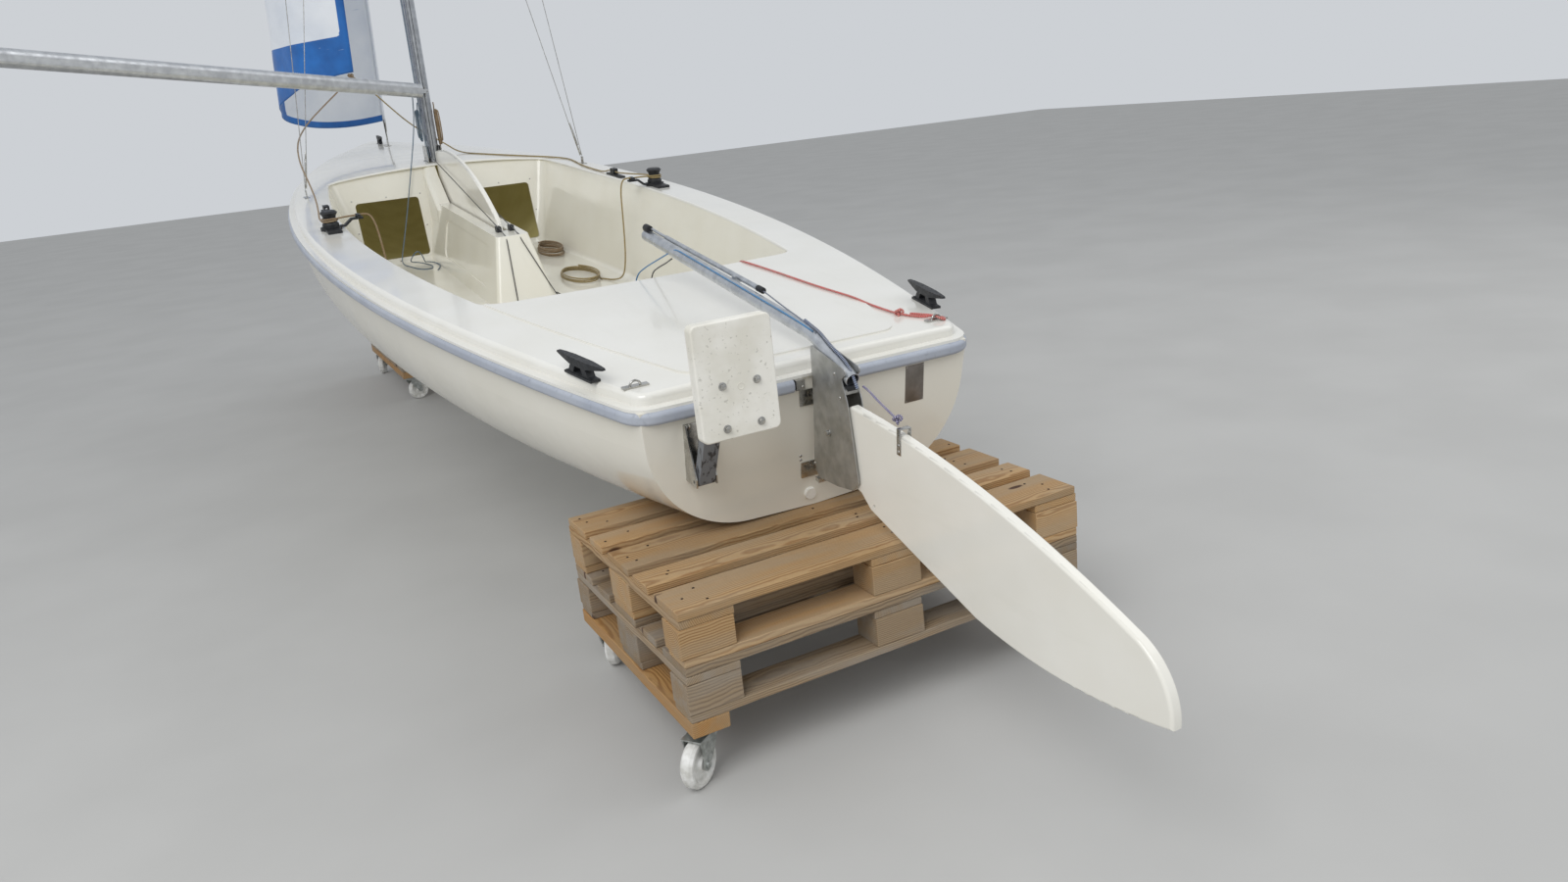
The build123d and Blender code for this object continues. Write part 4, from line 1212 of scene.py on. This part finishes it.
def crossScrew(radius):
    # Domed screw head with a cross cut into it
    bpy.ops.mesh.primitive_uv_sphere_add(segments=20, ring_count=12, radius=radius * mm)
    head = bpy.context.object
    head.scale = (1, 1, 0.5)
    settle(head)
    for turn in (0, pi / 2):
        cutter = block((1.2 * radius, 0.28 * radius, radius), (0, 0, 0.72 * radius), 0.1, 1)
        cutter.rotation_euler.z = turn
        settle(cutter)
        useModifier(head, "BOOLEAN", operation="DIFFERENCE", object=cutter, solver="EXACT")
        bpy.data.objects.remove(cutter)
    head.name = "screwModel"
    return paint(head, stainless, 35)


def fitSet(name, body, model, spots):
    # Copies of one model, each turned further than the last, at the spots that were found
    copies = []
    for k, spot in enumerate(spot for spot in spots if spot):
        copies.append(placedCopy(model, standOn(spot, 0.7 * k)))
    return fit(joined(copies, name), body)


def fromAft(names, across, up):
    return seatOn(names, boatPoint(across, -500, up), boatAhead)


def fromSide(names, along, up, side):
    return seatOn(names, boatPoint(side * 300, along, up), boatSide * -side)


largeBolt = hexBolt(13, 10.5)
smallBolt = hexBolt(10, 7.5)
smallScrew = crossScrew(4.5)

# Four bolts and a moulded ring on the outboard's pad: places in metres, the ring's sizes in millimetres
pad = dict(
    bolts=(0.4462, 0.5372),
    heights=(0.838, 0.942),
    ring=(0.4942, 0.934),
    ringRadius=8,
    ringThick=0.9,
    lookFrom=-3.3,
)


def onPad(x, z):
    return seatOn(["outboard_pad"], Vector((x, pad["lookFrom"], z)), Vector((0, 1, 0)))


fitSet("padBolts", "bracket_pad", largeBolt, [onPad(x, z) for x in pad["bolts"] for z in pad["heights"]])
bpy.ops.mesh.primitive_torus_add(
    major_radius=pad["ringRadius"] * mm, minor_radius=pad["ringThick"] * mm,
    major_segments=32, minor_segments=8,
)
ringMatrix = standOn(onPad(*pad["ring"]))
finished(bpy.context.object, "padRing", ringMatrix, whitePad, 60, "bracket_pad")

# Rivets and bolts of the rudder's cheeks, along and up
cheeks = dict(
    rivets=[
        (-80, 81), (-203, 45), (-226, -14), (-87, -56), (-86, -69), (-84, -82), (-83, -244), (-82, -258),
        (-81, -271),
    ],
    bolts=[(-163, -129)],
)
for name, kind, model in (("cheekRivets", "rivets", smallScrew), ("cheekBolts", "bolts", largeBolt)):
    spots = [fromSide(["rudder_cheeks"], *place, side) for side in (-1, 1) for place in cheeks[kind]]
    fitSet(name, "rudder", model, spots)

# Screws of the gudgeons and bolts of the bracket, across and up on the transom
transom = dict(
    nodes=["hull_shell", "rudder_gudgeons", "outboard_bracket_base", "transom_latch"],
    gudgeonScrews=[(across, up) for across in (-47, 47) for up in (-20, -32, -230, -242)],
    bracketBolts=[(across, up) for across in (-377, -336) for up in (-60, -178)],
)
for name, model in (("gudgeonScrews", smallScrew), ("bracketBolts", smallBolt)):
    fitSet(name, "hull", model, [fromAft(transom["nodes"], *place) for place in transom[name]])

# Blank metal plate on the transom, with its four rivets
blankPlate = dict(place=(326, -97), size=(62, 112, 1.2), rivets=(27, 52))
plateSpot, plateLooks = fromAft(["hull_shell"], *blankPlate["place"])
plateAlloy = brushedMetal("etchedPlate", "#8d8680", "#7c766f", 0.45, (0.05, 1, 1), 1.0)
plateTurn = Matrix((boatSide, plateLooks.cross(boatSide), plateLooks)).transposed().to_4x4()
plateMatrix = Matrix.Translation(plateSpot) @ plateTurn
plate = block(blankPlate["size"], (0, 0, 0.5), 0.4)
finished(plate, "transomPlate", plateMatrix, plateAlloy, 35, "hull")
plateRivet = paint(disc(1.8, 1.2, 0, 12, 0.4), stainless, 40)
rivetAcross, rivetUp = blankPlate["rivets"]
copies = [
    placedCopy(plateRivet, plateMatrix @ Matrix.Translation(Vector((x, y, 1)) * mm))
    for x in (-rivetAcross, rivetAcross) for y in (-rivetUp, rivetUp)
]
fit(joined(copies, "plateRivets"), "hull")

# Strap round the blade's upper edge, where its line is tied
strap = dict(
    place=(0, -476, -20),
    across=32,
    wide=16,
    deep=66,
    thick=1.5,
    half=15.2,
    screwsOut=15.8,
    screws=(-61, -77),
)
strapParts = [
    block((strap["thick"], strap["wide"], strap["deep"]), (side * strap["half"], 0, -strap["deep"] / 2), 0.5)
    for side in (-1, 1)
]
strapParts.append(block((strap["across"], strap["wide"], strap["thick"]), (0, 0, 0), 0.5))
strapPiece = joined(strapParts, "bladeStrap")
finished(strapPiece, "bladeStrap", asTheBoat(*strap["place"]), stainless, 35, "blade")
strapSpots = [
    (boatPoint(side * strap["screwsOut"], strap["place"][1], up), boatSide * side)
    for side in (-1, 1) for up in strap["screws"]
]
fitSet("strapBolts", "blade", smallScrew, strapSpots)

# Black stop block under the tiller's aft end
stopBlock = block((30, 22, 14), (0, 0, 0), 2)
finished(stopBlock, "tillerStop", asTheBoat(0, -243, 16), blackNylon, 40, "rudder")


def centreOf(corners):
    return sum(corners, Vector()) / len(corners)


def tubeEnd(name, way):
    # Centre and radius of the end of a tube that looks that way
    corners = [vertex.co for vertex in nodes[name].data.vertices]
    far = max(corner.dot(way) for corner in corners)
    last = [corner for corner in corners if corner.dot(way) > far - 4 * mm]
    centre = centreOf(last)
    return centre, max((corner - centre).length for corner in last)


# Swivel and end cap of the tiller's extension
endCap = dict(largest=14, over=1.2, length=34, below=26, edge=2)
foreEnd = tubeEnd("tiller_extension", boatAhead)
aftEnd = tubeEnd("tiller_extension", -boatAhead)
extensionWay = (foreEnd[0] - aftEnd[0]).normalized()
for name, (centre, radius), way in (
    ("extensionSwivel", foreEnd, extensionWay),
    ("extensionEnd", aftEnd, -extensionWay),
):
    capRadius = min(radius / mm, endCap["largest"]) + endCap["over"]
    cap = disc(capRadius, endCap["length"], -endCap["below"], 24, endCap["edge"])
    finished(cap, name, standOn((centre, way)), blackNylon, 40, "rudder")


def wireFoot(name, side):
    # Lower end of a stay on that side, and the way to a place 0.3 m further up it
    corners = sorted((vertex.co for vertex in nodes[name].data.vertices), key=lambda co: co.dot(boatUp))
    corners = [corner for corner in corners if (corner.x - gooseneck.x) * side >= 0]
    foot = corners[0].dot(boatUp)
    above = next(corner for corner in corners if corner.dot(boatUp) > foot + 0.3).dot(boatUp)
    start = centreOf([corner for corner in corners if corner.dot(boatUp) < foot + 0.03])
    end = centreOf([corner for corner in corners if above <= corner.dot(boatUp) < above + 0.03])
    return start, (end - start).normalized()


# Turnbuckles: barrel, two threaded ends and fork, each with radius, length, base, sides and edge
turnbuckle = [(6.5, 92, 62, 6, 1), (3.6, 60, 14, 16, 0.6), (3.6, 46, 146, 16, 0.6), (5.2, 26, 4, 6, 0.8)]
turnbuckles = []
for name, side in (("shrouds", -1), ("shrouds", 1), ("forestay", 0)):
    screwPiece = joined([disc(*part) for part in turnbuckle], "turnbuckle")
    screwPiece.matrix_world = standOn(wireFoot(name, side))
    settle(screwPiece)
    turnbuckles.append(screwPiece)
fit(paint(joined(turnbuckles, "rigScrews"), stainless, 35), "hull")

# The aft cleats as they look up close: longer and lower horns, in line with the gunwale
aftCleat = dict(across=520, along=270, up=42, longer=1.34, lower=0.85, toe=radians(10), moved=(31, -70))


def reshapeAftCleats():
    cleats = placedCopy(nodes["aft_cleats"], Matrix())
    toe = aftCleat["toe"]
    for vertex in cleats.data.vertices:
        away = vertex.co - boatPoint(0, 0, 0)
        across, along, up = [away.dot(way) / mm for way in (boatSide, boatAhead, boatUp)]
        side = 1 if across > 0 else -1
        outward = side * across - aftCleat["across"]
        forward = (along - aftCleat["along"]) * aftCleat["longer"]
        turnedOut = outward * cos(toe) + forward * sin(toe)
        turnedOn = forward * cos(toe) - outward * sin(toe)
        height = aftCleat["up"] + (up - aftCleat["up"]) * (aftCleat["lower"] if up > aftCleat["up"] else 1)
        vertex.co = boatPoint(
            side * (aftCleat["across"] + turnedOut + aftCleat["moved"][0]),
            aftCleat["along"] + turnedOn + aftCleat["moved"][1],
            height,
        )
    cleats.name = "aftHornCleats"
    cleats.data.name = "aftHornCleats"
    fit(cleats, "hull")
    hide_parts("aft_cleats")


reshapeAftCleats()

# White sleeve that holds the jib's luff to the forestay, and the strop at its tack
luffSleeve = dict(low=222, high=4560, radius=8.5, across=-4, stay=((5750, 96), (4539, 5200)))


def stayPoint(up):
    (lowAlong, lowUp), (highAlong, highUp) = luffSleeve["stay"]
    along = mixed(lowAlong, highAlong, (up - lowUp) / (highUp - lowUp))
    return boatPoint(luffSleeve["across"], along, up)


sleeveSteps = 48
sleevePoints = [
    stayPoint(mixed(luffSleeve["low"], luffSleeve["high"], k / sleeveSteps)) for k in range(sleeveSteps + 1)
]
sleeve = ropeTube("luffSleeve", sleevePoints, luffSleeve["radius"] * mm, 12)
fit(paint(sleeve, newMaterial("luffTape", "#e6eaf0", 0.6)), "hull")
tackRoute = [(-10, 5704, 236), (-8, 5716, 200), (-4, 5734, 150), (0, 5748, 106)]
rope("tackStrop", tackRoute, blackBraid, 6)

# Screws round the openings of the two lockers, none in the openings themselves
lockerScrews = dict(
    across=(135, 325, 515),
    up=(-398, -223, -48),
    opening=(325, -223),
    lookFrom=3300,
    reach=1.2,              # metres from there to the bulkhead, at most
)
frameSpots = []
for side in (-1, 1):
    for across in lockerScrews["across"]:
        for up in lockerScrews["up"]:
            if (across, up) == lockerScrews["opening"]:
                continue
            start = boatPoint(side * across, lockerScrews["lookFrom"], up)
            spot = seatOn(["cockpit_liner"], start, boatAhead)
            if spot and (spot[0] - start).length < lockerScrews["reach"]:
                frameSpots.append(spot)
fitSet("lockerScrews", "hull", smallScrew, frameSpots)

for model in (largeBolt, smallBolt, smallScrew, plateRivet):
    bpy.data.objects.remove(model)
print("bolts and fittings on")


# Floor, backdrop and lights
studio = dict(
    floorColour="#bdbcb9",
    floorSize=60,
    worldStrength=0.75,
    aim=(0.6, -1, 0.8),
    lampSize=6,
    lamps=[("key", (-5, -7, 8), 520), ("fill", (7, -4, 6), 120)],
)


def buildStudio():
    bpy.ops.mesh.primitive_plane_add(size=studio["floorSize"], location=(0, 0, 0))
    floor = bpy.context.object
    floor.name = "floor"
    material = newMaterial("paleFloor", studio["floorColour"], 0.9)
    place = placeOf(material)
    speckle = patches(material, place, 700, 0, 1)
    toShader(material, "Base Color", blendColours(material, speckle, studio["floorColour"], "#b8b7b4"))
    paint(floor, material)
    world = bpy.data.worlds.new("studio")
    bpy.context.scene.world = world
    world.use_nodes = True
    background = world.node_tree.nodes["Background"]
    background.inputs["Color"].default_value = linear("#e9edf2")
    background.inputs["Strength"].default_value = studio["worldStrength"]
    for name, place, power in studio["lamps"]:
        light = bpy.data.lights.new(name, "AREA")
        light.energy = power
        light.size = studio["lampSize"]
        holder = bpy.data.objects.new(name, light)
        bpy.context.scene.collection.objects.link(holder)
        holder.location = place
        way = Vector(studio["aim"]) - Vector(place)
        holder.rotation_euler = way.to_track_quat("-Z", "Y").to_euler()


buildStudio()
bpy.context.scene.view_settings.view_transform = "Standard"

print("done")
